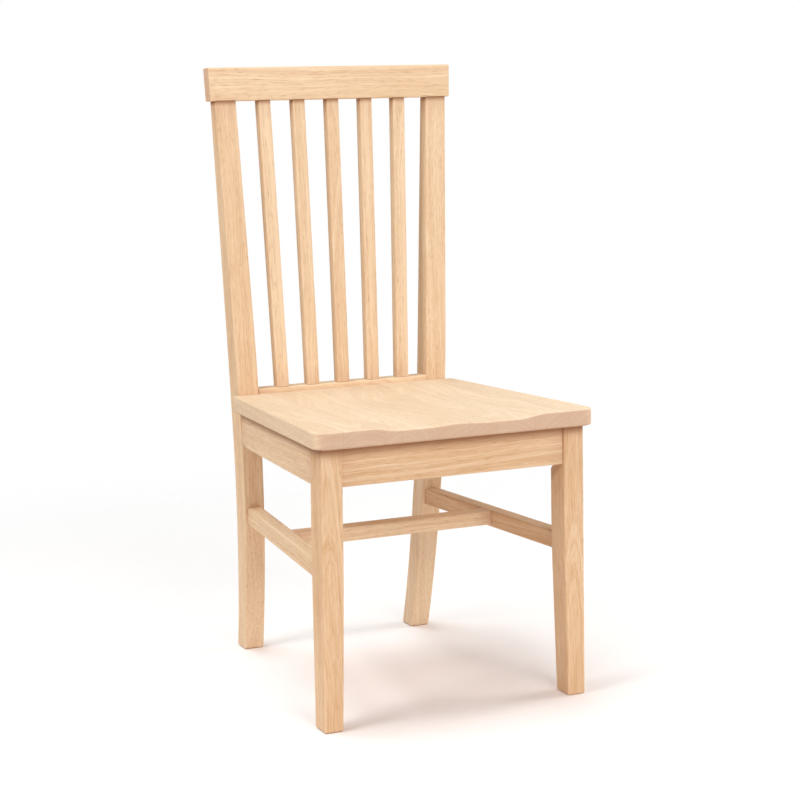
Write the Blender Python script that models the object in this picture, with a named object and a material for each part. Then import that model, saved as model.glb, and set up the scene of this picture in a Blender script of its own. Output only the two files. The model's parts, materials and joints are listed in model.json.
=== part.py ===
"""Slat-back dining chair in pale solid wood, modelled piece by piece as it comes apart on a bench.

The working frame has y = 0 at the front edge of the seat, z = 0 at the floor and x = 0 on the middle
of the chair, with the sitter facing -y.  The last step slides everything along y, so that the origin
ends up under the middle of the whole chair.  All sizes are in metres.
"""

import math
from collections import namedtuple

import bmesh
import bpy
from mathutils import Vector

# Clearance between two pieces that touch
GAP = 0.0003

# Seat panel
SEAT_HEIGHT = 0.457
SEAT_DEPTH = 0.447
SEAT_WIDTH_FRONT = 0.467
SEAT_WIDTH_REAR = 0.401
SEAT_THICKNESS = 0.026
SEAT_FALL = 0.009
SEAT_FRONT_CORNER = 0.024
SEAT_REAR_CORNER = 0.005
SEAT_ROUNDOVER = 0.003

# The dish in the seat: two hollows that run out at the front edge, with a low ridge between them
DISH_DEPTH = 0.0085
DISH_DEPTH_FRONT = 0.0054
DISH_RIM_FRONT = 0.0885
DISH_RIM_SIDE = 0.036
DISH_RIM_REAR = 0.040
DISH_EASE = 0.046
DISH_EASE_REAR = 0.100
DISH_RIDGE_SHARE = 0.40
DISH_RIDGE_HALF_WIDTH = 0.052

# Front legs
LEG_WIDTH = 0.034
LEG_DEPTH = 0.045
LEG_FOOT_WIDTH = 0.030
LEG_FOOT_DEPTH = 0.039
LEG_TAPER_START = 0.262
LEG_SPLAY = 0.003
LEG_INSET_SIDE = 0.0154
LEG_INSET_FRONT = 0.0183
LEG_CORNER_CUT = 0.013
LEG_CORNER_CUT_RUNOUT = 0.027
LEG_CORNER_CUT_CURVE = 0.021
LEG_CORNER_CUT_LEAD_IN = 0.001

# Back posts, each one with its rear leg in one piece
POST_WIDTH = 0.036
POST_DEPTH = 0.042
POST_DEPTH_TOP = 0.0252
POST_DEPTH_FOOT = 0.037
POST_FOOT_WIDTH = 0.034
POST_INSET_SIDE = 0.0112
POST_FLARE = 0.036
POST_RAKE = 0.057
POST_BEND = 0.080
POST_SWEEP = 0.049

# Crest rail, slats and rear seat rail
BACK_HEIGHT = 0.9825
CREST_HEIGHT = 0.054
CREST_THICKNESS = 0.0252
CREST_OVERHANG = 0.0078
SLAT_COUNT = 5
SLAT_WIDTH = 0.021
SLAT_THICKNESS = 0.020
SLAT_INSET = 0.0008
RAIL_THICKNESS = 0.026
RAIL_RISE = 0.0083

# Aprons
APRON_HEIGHT = 0.060
APRON_THICKNESS = 0.019
APRON_INSET_FRONT = 0.0048
APRON_INSET_SIDE = 0.002

# Stretchers
STRETCHER_Z = 0.2416
STRETCHER_HEIGHT = 0.028
STRETCHER_WIDTH = 0.0245
CROSS_Y = 0.260
CROSS_HEIGHT = 0.023
CROSS_WIDTH = 0.031
CROSS_DROP = 0.001

# Softened edges of the boards and of the ends of the feet
EDGE = 0.0025
FOOT_EDGE = 0.002

# Tenons: half thickness, shoulder left at each edge of the board, and length
TENON_LENGTH = 0.014
TENON_SHOULDER = 0.005
CREST_TENON_LENGTH = 0.026
SLAT_TENON_LENGTH = 0.010
SLAT_TENON_SHOULDER = 0.004
CROSS_TENON_LENGTH = 0.010

# Dowels in the apron joints
DOWEL_RADIUS = 0.004
DOWEL_LENGTH = 0.030
DOWEL_SPACING = 0.032

# Corner blocks and their hardware
BLOCK_HEIGHT = 0.038
BLOCK_THICKNESS = 0.022
BLOCK_LEG = 0.062
BLOCK_NOSE = 0.012
BOLT_RADIUS = 0.0032
BOLT_IN_LEG = 0.028
WASHER_RADIUS = 0.009
WASHER_THICKNESS = 0.0015
NUT_ACROSS_FLATS = 0.011
NUT_THICKNESS = 0.0055
BOLT_BEYOND_NUT = 0.004
SCREW_RADIUS = 0.0021
SCREW_HEAD_RADIUS = 0.0044
SCREW_HEAD_HEIGHT = 0.003
SCREW_IN_SEAT = 0.014
SCREW_IN_RAIL = 0.013
SCREW_SEAT_AT_HEAD = 0.012

# How finely curves are divided: board corners, round pieces, and the seat's front, right, rear and left
CORNER_STEPS = 3
ROUND_SIDES = 12
OUTLINE_PIECES = (20, 10, 8, 10)

X = Vector((1.0, 0.0, 0.0))
Y = Vector((0.0, 1.0, 0.0))
Z = Vector((0.0, 0.0, 1.0))

# Colours, linear RGB
WOOD = (0.80, 0.585, 0.36)
WOOD_PALE = (0.87, 0.68, 0.45)
WOOD_PLAIN = (0.72, 0.50, 0.29)
STEEL = (0.62, 0.62, 0.60)

Section = namedtuple("Section", "centre u v half_u half_v radius")


# ---------------------------------------------------------------- places that several pieces share

def ramp(height, blend):
    """Height above a bend, eased in over the length blend."""
    if height <= 0.0:
        return 0.0
    if height < blend:
        return height * height / (2.0 * blend)
    return height - blend / 2.0


def seat_fall(y):
    """How far the seat has dropped below its front edge at y."""
    return SEAT_FALL * y / SEAT_DEPTH


def seat_underside(y):
    return SEAT_HEIGHT - SEAT_THICKNESS - seat_fall(y)


BACK_PLANE = SEAT_DEPTH + GAP
SEAT_TOP_REAR = SEAT_HEIGHT - SEAT_FALL
RAIL_TOP = SEAT_TOP_REAR + RAIL_RISE
RAIL_BOTTOM = seat_underside(SEAT_DEPTH) - APRON_HEIGHT
SWEEP_START = seat_underside(SEAT_DEPTH)
SWEEP_RADIUS = (SWEEP_START ** 2 + POST_SWEEP ** 2) / (2.0 * POST_SWEEP)
LEG_FRONT = LEG_INSET_FRONT
LEG_REAR = LEG_FRONT + LEG_DEPTH
RAKE_UP = Vector((0.0, POST_RAKE, 1.0)).normalized()
RAKE_BACK = Vector((0.0, 1.0, -POST_RAKE)).normalized()


def leg_taper(z):
    """0 above the start of the leg's taper, 1 at the floor."""
    return ramp(LEG_TAPER_START - z, 0.06) / ramp(LEG_TAPER_START, 0.06)


def leg_width(z):
    return LEG_WIDTH - (LEG_WIDTH - LEG_FOOT_WIDTH) * leg_taper(z)


def leg_depth(z):
    return LEG_DEPTH - (LEG_DEPTH - LEG_FOOT_DEPTH) * leg_taper(z)


def leg_outer(z):
    """Distance from the chair's middle to the outer face of a front leg."""
    top = SEAT_HEIGHT - SEAT_THICKNESS
    return SEAT_WIDTH_FRONT / 2 - LEG_INSET_SIDE + LEG_SPLAY * (1.0 - z / top)


def post_outer(z):
    """Distance from the chair's middle to the outer face of a back post."""
    return SEAT_WIDTH_REAR / 2 - POST_INSET_SIDE + POST_FLARE * (z - SEAT_TOP_REAR)


def post_width(z):
    """Width of a back post, which narrows on its inner face below the stretcher."""
    return POST_WIDTH - (POST_WIDTH - POST_FOOT_WIDTH) * ramp(STRETCHER_Z - z, 0.06) / ramp(STRETCHER_Z, 0.06)


def post_inner(z):
    return post_outer(z) - post_width(z)


def post_front(z):
    """The front face of a back post: swept back to the foot, upright at the seat, raked above it."""
    if z < SWEEP_START:
        return BACK_PLANE + SWEEP_RADIUS - math.sqrt(SWEEP_RADIUS ** 2 - (SWEEP_START - z) ** 2)
    return BACK_PLANE + POST_RAKE * ramp(z - RAIL_TOP, POST_BEND)


CREST_BOTTOM = BACK_HEIGHT - CREST_HEIGHT * RAKE_UP.z
CREST_FRONT = Vector((0.0, post_front(CREST_BOTTOM), CREST_BOTTOM))


def post_depth(z):
    if z < RAIL_TOP:
        return POST_DEPTH_FOOT + (POST_DEPTH - POST_DEPTH_FOOT) * min(1.0, z / SWEEP_START)
    share = ramp(z - RAIL_TOP, POST_BEND) / ramp(CREST_BOTTOM - RAIL_TOP, POST_BEND)
    return POST_DEPTH + (POST_DEPTH_TOP - POST_DEPTH) * share


def apron_outer(y):
    """Outer face of a side apron, which runs from the front leg to the back post."""
    front = leg_outer(seat_underside(LEG_REAR) - APRON_HEIGHT / 2) - APRON_INSET_SIDE
    rear = post_outer(seat_underside(SEAT_DEPTH) - APRON_HEIGHT / 2) - APRON_INSET_SIDE
    share = (y - LEG_REAR) / (BACK_PLANE - LEG_REAR)
    return front + (rear - front) * share


def apron_inner(y):
    return apron_outer(y) - APRON_THICKNESS


def stretcher_centre(y):
    """Middle line of a side stretcher in plan, from the middle of a leg to the middle of a post."""
    front = leg_outer(STRETCHER_Z) - leg_width(STRETCHER_Z) / 2
    rear = post_outer(STRETCHER_Z) - post_width(STRETCHER_Z) / 2
    start = LEG_FRONT + leg_depth(STRETCHER_Z)
    share = (y - start) / (post_front(STRETCHER_Z) - start)
    return front + (rear - front) * share


def slat_pitch(z):
    """Spacing of the slats at height z, with equal gaps between slats and beside the posts."""
    gap = (2 * post_inner(z) - SLAT_COUNT * SLAT_WIDTH) / (SLAT_COUNT + 1)
    return gap + SLAT_WIDTH


# ---------------------------------------------------------------- making solids

def clear_scene():
    for obj in list(bpy.data.objects):
        bpy.data.objects.remove(obj, do_unlink=True)


def material(name, colour, roughness, metallic):
    mat = bpy.data.materials.new(name)
    mat.use_nodes = True
    shader = mat.node_tree.nodes["Principled BSDF"]
    shader.inputs["Base Color"].default_value = (*colour, 1.0)
    shader.inputs["Roughness"].default_value = roughness
    shader.inputs["Metallic"].default_value = metallic
    mat.diffuse_color = (*colour, 1.0)
    return mat


def rectangle(section):
    """Corner-rounded rectangle of a section, as points in space."""
    points = []
    radius = section.radius
    for side_u, side_v, start in ((1, 1, 0), (-1, 1, 90), (-1, -1, 180), (1, -1, 270)):
        for step in range(CORNER_STEPS + 1):
            angle = math.radians(start + 90.0 * step / CORNER_STEPS)
            along_u = side_u * (section.half_u - radius) + radius * math.cos(angle)
            along_v = side_v * (section.half_v - radius) + radius * math.sin(angle)
            points.append(section.centre + section.u * along_u + section.v * along_v)
    return points


def circle(centre, u, v, radius, sides=ROUND_SIDES):
    points = []
    for step in range(sides):
        angle = 2.0 * math.pi * step / sides
        points.append(centre + u * (radius * math.cos(angle)) + v * (radius * math.sin(angle)))
    return points


def new_object(name, mesh_data):
    obj = bpy.data.objects.new(name, mesh_data)
    bpy.context.scene.collection.objects.link(obj)
    return obj


def finish_mesh(name, bm, centre=None):
    """Turns a bmesh into an object whose origin is at centre."""
    bmesh.ops.recalc_face_normals(bm, faces=bm.faces)
    centre = centre or Vector()
    bmesh.ops.translate(bm, verts=bm.verts, vec=-centre)
    mesh_data = bpy.data.meshes.new(name)
    bm.to_mesh(mesh_data)
    bm.free()
    obj = new_object(name, mesh_data)
    obj.location = centre
    return obj


def loft(name, rings, closed=False, centre=None):
    """Solid through rings of points; closed joins the last ring to the first, else both ends are capped."""
    bm = bmesh.new()
    rows = [[bm.verts.new(point) for point in ring] for ring in rings]
    count = len(rows[0])
    pairs = list(zip(rows, rows[1:]))
    if closed:
        pairs.append((rows[-1], rows[0]))
    for low, high in pairs:
        for i in range(count):
            j = (i + 1) % count
            bm.faces.new((low[i], low[j], high[j], high[i]))
    if not closed:
        bm.faces.new(rows[0][::-1])
        bm.faces.new(rows[-1])
    return finish_mesh(name, bm, centre)


def board(name, sections):
    """A length of timber through a row of sections, with its origin at the middle of that row."""
    middle = (sections[0].centre + sections[-1].centre) / 2
    return loft(name, [rectangle(section) for section in sections], centre=middle)


def prism(name, plan, low, high):
    """Upright block over a plan outline, between two heights that may change with y."""
    bottom = [Vector((x, y, low(y))) for x, y in plan]
    top = [Vector((x, y, high(y))) for x, y in plan]
    return loft(name, [bottom, top], centre=sum(bottom, Vector()) / len(bottom))


def helper(obj):
    """Marks an object as a cutter, which is no piece of the chair."""
    obj.hide_render = True
    obj.display_type = "WIRE"
    return obj


def cut(target, cutter):
    modifier = target.modifiers.new(cutter.name, "BOOLEAN")
    modifier.operation = "DIFFERENCE"
    modifier.solver = "EXACT"
    modifier.object = cutter


def moved(section, offset):
    return section._replace(centre=section.centre + offset)


def tenon(face, direction, length, shoulder_u, shoulder_v):
    """Two sections of a tenon that stands on a face: at its root and at its tip."""
    half_u = face.half_u - shoulder_u
    half_v = face.half_v - shoulder_v
    root = face._replace(half_u=half_u, half_v=half_v, radius=min(half_u, half_v) * 0.6)
    return [root, moved(root, direction * length)]


def mortise(target, name, tenon_sections, mouth=0.003):
    """Cuts the hole for a tenon, larger by the gap and open past the face of the target."""
    root, tip = tenon_sections
    direction = (tip.centre - root.centre).normalized()
    grown = root._replace(half_u=root.half_u + GAP, half_v=root.half_v + GAP, radius=root.radius + GAP)
    start = moved(grown, -direction * mouth)
    end = moved(grown, tip.centre - root.centre + direction * GAP)
    cut(target, helper(board(name, [start, end])))


def across(direction):
    """Two unit vectors square to a direction."""
    side = direction.cross(Z) if abs(direction.z) < 0.9 else direction.cross(Y)
    side.normalize()
    return side, direction.cross(side).normalized()


def turned(name, start, direction, profile):
    """Round solid: profile lists (distance along direction, radius)."""
    u, v = across(direction)
    rings = [circle(start + direction * along, u, v, radius) for along, radius in profile]
    return loft(name, rings, centre=start)


def drill(targets, name, start, direction, length, radius):
    """Round hole of the stated radius through every target that it reaches."""
    cutter = helper(turned(name, start, direction, ((0.0, radius), (length, radius))))
    for target in targets:
        cut(target, cutter)


def eased_end(face, outward, radius, steps):
    """Sections that round a board over towards its end face, from the full size to the face itself."""
    sections = []
    for step in range(steps + 1):
        angle = math.radians(90.0 * step / steps)
        inset = radius * (1.0 - math.cos(angle))
        back = radius * (1.0 - math.sin(angle))
        sections.append(face._replace(
            centre=face.centre - outward * back,
            half_u=face.half_u - inset,
            half_v=face.half_v - inset,
            radius=max(face.radius - inset, 0.0004),
        ))
    return sections


# ---------------------------------------------------------------- seat panel

def seat_outline():
    """Plan of the seat as (point, inward unit normal) pairs, anticlockwise from the front left."""
    front, rear = SEAT_WIDTH_FRONT / 2, SEAT_WIDTH_REAR / 2
    corners = (
        ((-front, 0.0), SEAT_FRONT_CORNER, 6),
        ((front, 0.0), SEAT_FRONT_CORNER, 6),
        ((rear, SEAT_DEPTH), SEAT_REAR_CORNER, 3),
        ((-rear, SEAT_DEPTH), SEAT_REAR_CORNER, 3),
    )
    outline = []
    for i, (corner, radius, steps) in enumerate(corners):
        here = Vector(corner)
        back = (here - Vector(corners[i - 1][0])).normalized()
        ahead = (Vector(corners[(i + 1) % 4][0]) - here).normalized()
        turn = back.angle(ahead)
        set_back = radius * math.tan(turn / 2)
        start_normal = Vector((-back.y, back.x))
        centre = here - back * set_back + start_normal * radius
        for step in range(steps + 1):
            angle = turn * step / steps
            inward = Vector((
                start_normal.x * math.cos(angle) - start_normal.y * math.sin(angle),
                start_normal.x * math.sin(angle) + start_normal.y * math.cos(angle),
            ))
            outline.append((centre - inward * radius, inward))
        end = outline[-1][0]
        next_radius = corners[(i + 1) % 4][1]
        target = Vector(corners[(i + 1) % 4][0])
        run = (target - end).length - next_radius
        pieces = OUTLINE_PIECES[i]
        for step in range(1, pieces):
            outline.append((end + ahead * (run * step / pieces), outline[-1][1]))
    return outline


def smooth(value):
    value = min(1.0, max(0.0, value))
    return value * value * (3.0 - 2.0 * value)


def dish_rim(y):
    """Width of the flat rim beside the dish, which narrows from the front edge to half way back."""
    return DISH_RIM_FRONT + (DISH_RIM_SIDE - DISH_RIM_FRONT) * smooth(y / (SEAT_DEPTH / 2))


def seat_top(x, y):
    """Height of the top of the seat, which is flat round the rim and dished in the middle."""
    half_width = SEAT_WIDTH_FRONT / 2 + (SEAT_WIDTH_REAR - SEAT_WIDTH_FRONT) / 2 * y / SEAT_DEPTH
    from_side = smooth((half_width - dish_rim(y) - abs(x)) / DISH_EASE)
    from_rear = smooth((SEAT_DEPTH - DISH_RIM_REAR - y) / DISH_EASE_REAR)
    depth = DISH_DEPTH_FRONT + (DISH_DEPTH - DISH_DEPTH_FRONT) * smooth(y / (SEAT_DEPTH * 0.6))
    ridge = (1.0 - smooth(abs(x) / DISH_RIDGE_HALF_WIDTH)) * (1.0 - smooth(y / (SEAT_DEPTH * 0.7)))
    hollow = depth * from_side * from_rear * (1.0 - DISH_RIDGE_SHARE * ridge)
    return SEAT_HEIGHT - seat_fall(y) - hollow


def make_seat():
    outline = seat_outline()
    steps = 3
    rings = []
    for step in range(steps + 1):
        angle = math.radians(90.0 * step / steps)
        inset = SEAT_ROUNDOVER * (1.0 - math.sin(angle))
        rise = SEAT_ROUNDOVER * (1.0 - math.cos(angle))
        ring = []
        for point, inward in outline:
            place = point + inward * inset
            ring.append(Vector((place.x, place.y, seat_underside(place.y) + rise)))
        rings.append(ring)
    for step in range(steps, -1, -1):
        angle = math.radians(90.0 * step / steps)
        inset = SEAT_ROUNDOVER * (1.0 - math.sin(angle))
        drop = SEAT_ROUNDOVER * (1.0 - math.cos(angle))
        ring = []
        for point, inward in outline:
            place = point + inward * inset
            ring.append(Vector((place.x, place.y, seat_top(place.x, place.y) - drop)))
        rings.append(ring)
    middle = Vector((0.0, SEAT_DEPTH / 2))
    for share in (0.92, 0.83, 0.74, 0.65, 0.55, 0.44, 0.32, 0.18, 0.06):
        ring = []
        for point, inward in outline:
            place = middle + (point + inward * SEAT_ROUNDOVER - middle) * share
            ring.append(Vector((place.x, place.y, seat_top(place.x, place.y))))
        rings.append(ring)
    return loft("seat_panel", rings, centre=Vector((0.0, SEAT_DEPTH / 2, SEAT_HEIGHT - SEAT_THICKNESS)))


# ---------------------------------------------------------------- legs and posts

def leg_section(side, z, inset=0.0):
    width, depth = leg_width(z), leg_depth(z)
    centre = Vector((side * (leg_outer(z) - width / 2), LEG_FRONT + depth / 2, z))
    return Section(centre, X, Y, width / 2 - inset, depth / 2 - inset, EDGE - inset)


def make_front_leg(side, word):
    slope = SEAT_FALL / SEAT_DEPTH
    sections = [leg_section(side, 0.0, FOOT_EDGE), leg_section(side, FOOT_EDGE)]
    for share in (0.33, 0.66, 0.88, 1.0):
        sections.append(leg_section(side, LEG_TAPER_START * share))
    middle = LEG_FRONT + LEG_DEPTH / 2
    top = leg_section(side, seat_underside(middle) - GAP)
    sections.append(top._replace(v=Vector((0.0, 1.0, -slope))))
    leg = board(f"front_leg_{word}", sections)
    cut(leg, corner_cut(side, word))
    return leg


def corner_frame(side):
    """Face of the 45 degree cut on a front leg: its middle, the way into the leg, and the way along it."""
    level = seat_underside(LEG_REAR) - APRON_HEIGHT / 2
    inner = leg_outer(level) - leg_width(level)
    half_cut = LEG_CORNER_CUT / 2
    middle = Vector((side * (inner + half_cut), LEG_REAR - half_cut, level))
    into = Vector((side, -1.0, 0.0)).normalized()
    along = Vector((side, 1.0, 0.0)).normalized()
    return middle, into, along


def corner_cut(side, word):
    """Cutter for the inner corner of a front leg behind the aprons.  It runs out below them in a long curve."""
    middle, into, along = corner_frame(side)
    bottom = seat_underside(LEG_REAR) - APRON_HEIGHT - LEG_CORNER_CUT_RUNOUT
    depth = LEG_CORNER_CUT / math.sqrt(2.0)
    profile = []
    for step in range(9):
        angle = math.radians(90.0 * step / 8)
        out = -(depth + LEG_CORNER_CUT_LEAD_IN) * math.cos(angle)
        profile.append((out, bottom + LEG_CORNER_CUT_CURVE * math.sin(angle)))
    profile.append((0.0, SEAT_HEIGHT))
    profile.append((-4.0 * depth, SEAT_HEIGHT))
    profile.append((-4.0 * depth, bottom))
    flat = Vector((middle.x, middle.y, 0.0))
    rings = []
    for end in (-2.0, 2.0):
        ring = [flat + along * (end * LEG_CORNER_CUT) + into * out + Z * z for out, z in profile]
        rings.append(ring)
    return helper(loft(f"cut_leg_corner_{word}", rings))


def post_section(side, z, inset=0.0):
    width, depth = post_width(z), post_depth(z)
    centre = Vector((side * (post_outer(z) - width / 2), post_front(z) + depth / 2, z))
    return Section(centre, X, Y, width / 2 - inset, depth / 2 - inset, EDGE - inset)


def post_head(side):
    """Top face of a back post, square to its rake, under the crest rail."""
    centre = CREST_FRONT + RAKE_BACK * (POST_DEPTH_TOP / 2) - RAKE_UP * GAP
    width = post_width(centre.z)
    centre.x = side * (post_outer(centre.z) - width / 2)
    return Section(centre, X, RAKE_BACK, width / 2, POST_DEPTH_TOP / 2, EDGE)


def flared(direction, side):
    """A direction in the side view of the chair, leaned outwards by the posts' flare."""
    return Vector((side * POST_FLARE, direction.y, direction.z)).normalized()


def make_back_post(side, word):
    sections = [post_section(side, 0.0, FOOT_EDGE), post_section(side, FOOT_EDGE)]
    low_steps = 9
    for step in range(1, low_steps + 1):
        sections.append(post_section(side, SWEEP_START * step / low_steps))
    bend_steps = 4
    for step in range(bend_steps + 1):
        sections.append(post_section(side, RAIL_TOP + POST_BEND * step / bend_steps))
    head = post_head(side)
    sections.append(head)
    peg = tenon(head, flared(RAKE_UP, side), CREST_TENON_LENGTH, TENON_SHOULDER * 1.6, TENON_SHOULDER * 1.4)
    return board(f"back_post_{word}", sections + peg), peg


# ---------------------------------------------------------------- the back

def make_crest(post_pegs):
    """Crest rail, whose ends lean outwards like the posts."""
    middle = CREST_FRONT + RAKE_BACK * (CREST_THICKNESS / 2) + RAKE_UP * (CREST_HEIGHT / 2)
    rings = []
    for side in (-1, 1):
        centre = middle.copy()
        centre.x = side * (post_outer(middle.z) + CREST_OVERHANG)
        height = Vector((side * POST_FLARE, RAKE_UP.y, RAKE_UP.z))
        face = Section(centre, RAKE_BACK, height, CREST_THICKNESS / 2, CREST_HEIGHT / 2, EDGE)
        end = eased_end(face, X * side, EDGE, 3)
        rings.extend(end if side > 0 else reversed(end))
    crest = board("crest_rail", rings)
    for word, peg in post_pegs.items():
        mortise(crest, f"cut_crest_{word}_post", peg)
    return crest


def make_rear_rail():
    """Rear seat rail between the posts, with the slats standing in its top edge."""
    level = (RAIL_TOP + RAIL_BOTTOM) / 2
    half_height = (RAIL_TOP - RAIL_BOTTOM) / 2
    sections = []
    pegs = {}
    for side, word in ((-1, "left"), (1, "right")):
        centre = Vector((side * (post_inner(level) - GAP), BACK_PLANE + RAIL_THICKNESS / 2, level))
        lean = Vector((side * POST_FLARE, 0.0, 1.0))
        face = Section(centre, Y, lean, RAIL_THICKNESS / 2, half_height, EDGE)
        peg = tenon(face, X * side, TENON_LENGTH, TENON_SHOULDER * 1.4, TENON_SHOULDER * 2.6)
        pegs[word] = peg
        end = [face] + peg
        sections.extend(end if side > 0 else reversed(end))
    return board("rear_seat_rail", sections), pegs


def make_slat(index, rail, crest):
    place = index - (SLAT_COUNT - 1) / 2
    deep = SLAT_INSET + SLAT_THICKNESS / 2
    foot_z = RAIL_TOP + GAP
    foot_centre = Vector((place * slat_pitch(foot_z), BACK_PLANE + deep, foot_z))
    head_centre = CREST_FRONT + RAKE_BACK * deep - RAKE_UP * GAP
    head_centre.x = place * slat_pitch(head_centre.z)
    along = (head_centre - foot_centre).normalized()
    half_width, half_thickness = SLAT_WIDTH / 2, SLAT_THICKNESS / 2
    foot = Section(foot_centre, X, Y, half_width, half_thickness, EDGE)
    head = Section(head_centre, X, RAKE_BACK, half_width, half_thickness, EDGE)
    low = tenon(foot, -along, SLAT_TENON_LENGTH, SLAT_TENON_SHOULDER, SLAT_TENON_SHOULDER)
    high = tenon(head, along, SLAT_TENON_LENGTH, SLAT_TENON_SHOULDER, SLAT_TENON_SHOULDER)
    name = f"back_slat_{index + 1}"
    slat = board(name, low[::-1] + [foot, head] + high)
    mortise(rail, f"cut_rail_{name}", low)
    mortise(crest, f"cut_crest_{name}", high)
    return slat


# ---------------------------------------------------------------- aprons and stretchers

def make_dowel(name, middle, direction, first, second):
    """Dowel half in each of two pieces, with its hole drilled in both."""
    start = middle - direction * (DOWEL_LENGTH / 2)
    edge = DOWEL_RADIUS * 0.25
    profile = (
        (0.0, DOWEL_RADIUS - edge),
        (edge, DOWEL_RADIUS),
        (DOWEL_LENGTH - edge, DOWEL_RADIUS),
        (DOWEL_LENGTH, DOWEL_RADIUS - edge),
    )
    dowel = turned(name, start, direction, profile)
    drill((first, second), f"drill_{name}", start - direction * GAP, direction,
          DOWEL_LENGTH + 2 * GAP, DOWEL_RADIUS + GAP)
    return dowel


def make_dowel_pair(name, face, direction, first, second):
    """An upper and a lower dowel across the joint at a board's end face."""
    pair = []
    for word, sign in (("upper", 1), ("lower", -1)):
        middle = face.centre + Z * (sign * DOWEL_SPACING / 2)
        pair.append(make_dowel(f"{name}_{word}", middle, direction, first, second))
    return pair


def make_front_apron(legs):
    back = LEG_FRONT + APRON_INSET_FRONT + APRON_THICKNESS
    top = seat_underside(back) - GAP
    level = top - APRON_HEIGHT / 2
    faces = {}
    for side, word in ((-1, "left"), (1, "right")):
        inner = leg_outer(level) - LEG_WIDTH - GAP
        lean = -side * LEG_SPLAY / (SEAT_HEIGHT - SEAT_THICKNESS)
        centre = Vector((side * inner, back - APRON_THICKNESS / 2, level))
        faces[word] = Section(centre, Y, Vector((lean, 0.0, 1.0)), APRON_THICKNESS / 2, APRON_HEIGHT / 2, EDGE)
    apron = board("front_apron", [faces["left"], faces["right"]])
    pieces = [apron]
    for side, word in ((-1, "left"), (1, "right")):
        pieces += make_dowel_pair(f"front_apron_dowel_{word}", faces[word], X * side, apron, legs[word])
    return apron, pieces


def make_side_apron(side, word, leg, post):
    faces = []
    for y in (LEG_REAR + GAP, BACK_PLANE - GAP):
        centre = Vector((side * (apron_outer(y) - APRON_THICKNESS / 2), y, 0.0))
        centre.z = seat_underside(y) - GAP - APRON_HEIGHT / 2
        faces.append(Section(centre, X, Z, APRON_THICKNESS / 2, APRON_HEIGHT / 2, EDGE))
    apron = board(f"side_apron_{word}", faces)
    pieces = [apron]
    pieces += make_dowel_pair(f"side_apron_dowel_{word}_front", faces[0], -Y, apron, leg)
    pieces += make_dowel_pair(f"side_apron_dowel_{word}_rear", faces[1], Y, apron, post)
    return apron, pieces


def make_side_stretcher(side, word, leg, post):
    half_height = STRETCHER_HEIGHT / 2
    low, high = STRETCHER_Z - half_height, STRETCHER_Z + half_height
    leg_low, leg_high = (LEG_FRONT + leg_depth(z) for z in (low, high))
    front_y = max(leg_low, leg_high) + GAP
    post_low, post_high = post_front(low), post_front(high)
    rear_lean = (post_high - post_low) / STRETCHER_HEIGHT
    rear_y = (post_low + post_high) / 2 - GAP
    ends = []
    for y, lean in ((front_y, 0.0), (rear_y, rear_lean)):
        centre = Vector((side * stretcher_centre(y), y, STRETCHER_Z))
        ends.append(Section(centre, X, Vector((0.0, lean, 1.0)), STRETCHER_WIDTH / 2, half_height, EDGE))
    along = (ends[1].centre - ends[0].centre).normalized()
    front_peg = tenon(ends[0], -along, TENON_LENGTH, TENON_SHOULDER * 1.2, TENON_SHOULDER)
    rear_peg = tenon(ends[1], along, TENON_LENGTH, TENON_SHOULDER * 1.2, TENON_SHOULDER)
    stretcher = board(f"side_stretcher_{word}", front_peg[::-1] + ends + rear_peg)
    mortise(leg, f"cut_leg_{word}_stretcher", front_peg)
    mortise(post, f"cut_post_{word}_stretcher", rear_peg)
    return stretcher, along


def make_cross_stretcher(stretchers):
    """Cross stretcher, let into the inner faces of the side stretchers just under their tops."""
    level = STRETCHER_Z + STRETCHER_HEIGHT / 2 - CROSS_DROP - CROSS_HEIGHT / 2
    sections = []
    pegs = {}
    for side, word in ((-1, "left"), (1, "right")):
        along = stretchers[word][1]
        reach = stretcher_centre(CROSS_Y) - STRETCHER_WIDTH / 2 - GAP
        centre = Vector((side * reach, CROSS_Y, level))
        plan = along / along.y
        face = Section(centre, plan, Z, CROSS_WIDTH / 2, CROSS_HEIGHT / 2, EDGE)
        pegs[word] = tenon(face, X * side, CROSS_TENON_LENGTH, TENON_SHOULDER * 1.6, TENON_SHOULDER)
        end = [face] + pegs[word]
        sections.extend(end if side > 0 else reversed(end))
    cross = board("cross_stretcher", sections)
    for word, peg in pegs.items():
        mortise(stretchers[word][0], f"cut_side_stretcher_{word}", peg)
    return cross


# ---------------------------------------------------------------- corner blocks and hardware

def meet_apron(side, sum_value, toward_front):
    """Plan point on a side apron's inner face where side * x + or - y keeps a value."""
    slope = (apron_inner(BACK_PLANE) - apron_inner(LEG_REAR)) / (BACK_PLANE - LEG_REAR)
    base = apron_inner(0.0) - GAP
    sign = 1.0 if toward_front else -1.0
    y = (base - sum_value) / (sign - slope)
    return side * (base + slope * y), y


def block_bottom(y):
    return seat_underside(y) - GAP - BLOCK_HEIGHT


def block_top(y):
    return seat_underside(y) - GAP


def front_block_span(side):
    """Outer and inner face of a front block, both as values of side * x - y, and its start on y."""
    middle, into, along = corner_frame(side)
    outer = side * middle.x - middle.y - GAP * math.sqrt(2.0)
    inner = outer - BLOCK_THICKNESS * math.sqrt(2.0)
    return outer, inner, LEG_FRONT + APRON_INSET_FRONT + APRON_THICKNESS + GAP


def make_front_block(side, word):
    """Block behind a front leg: its outer face bears on the leg's cut corner, its ends on both aprons."""
    outer, inner, behind_apron = front_block_span(side)
    plan = (
        (side * (outer + behind_apron), behind_apron),
        meet_apron(side, outer, True),
        meet_apron(side, inner, True),
        (side * (inner + behind_apron), behind_apron),
    )
    return prism(f"corner_block_front_{word}", plan, block_bottom, block_top)


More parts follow.
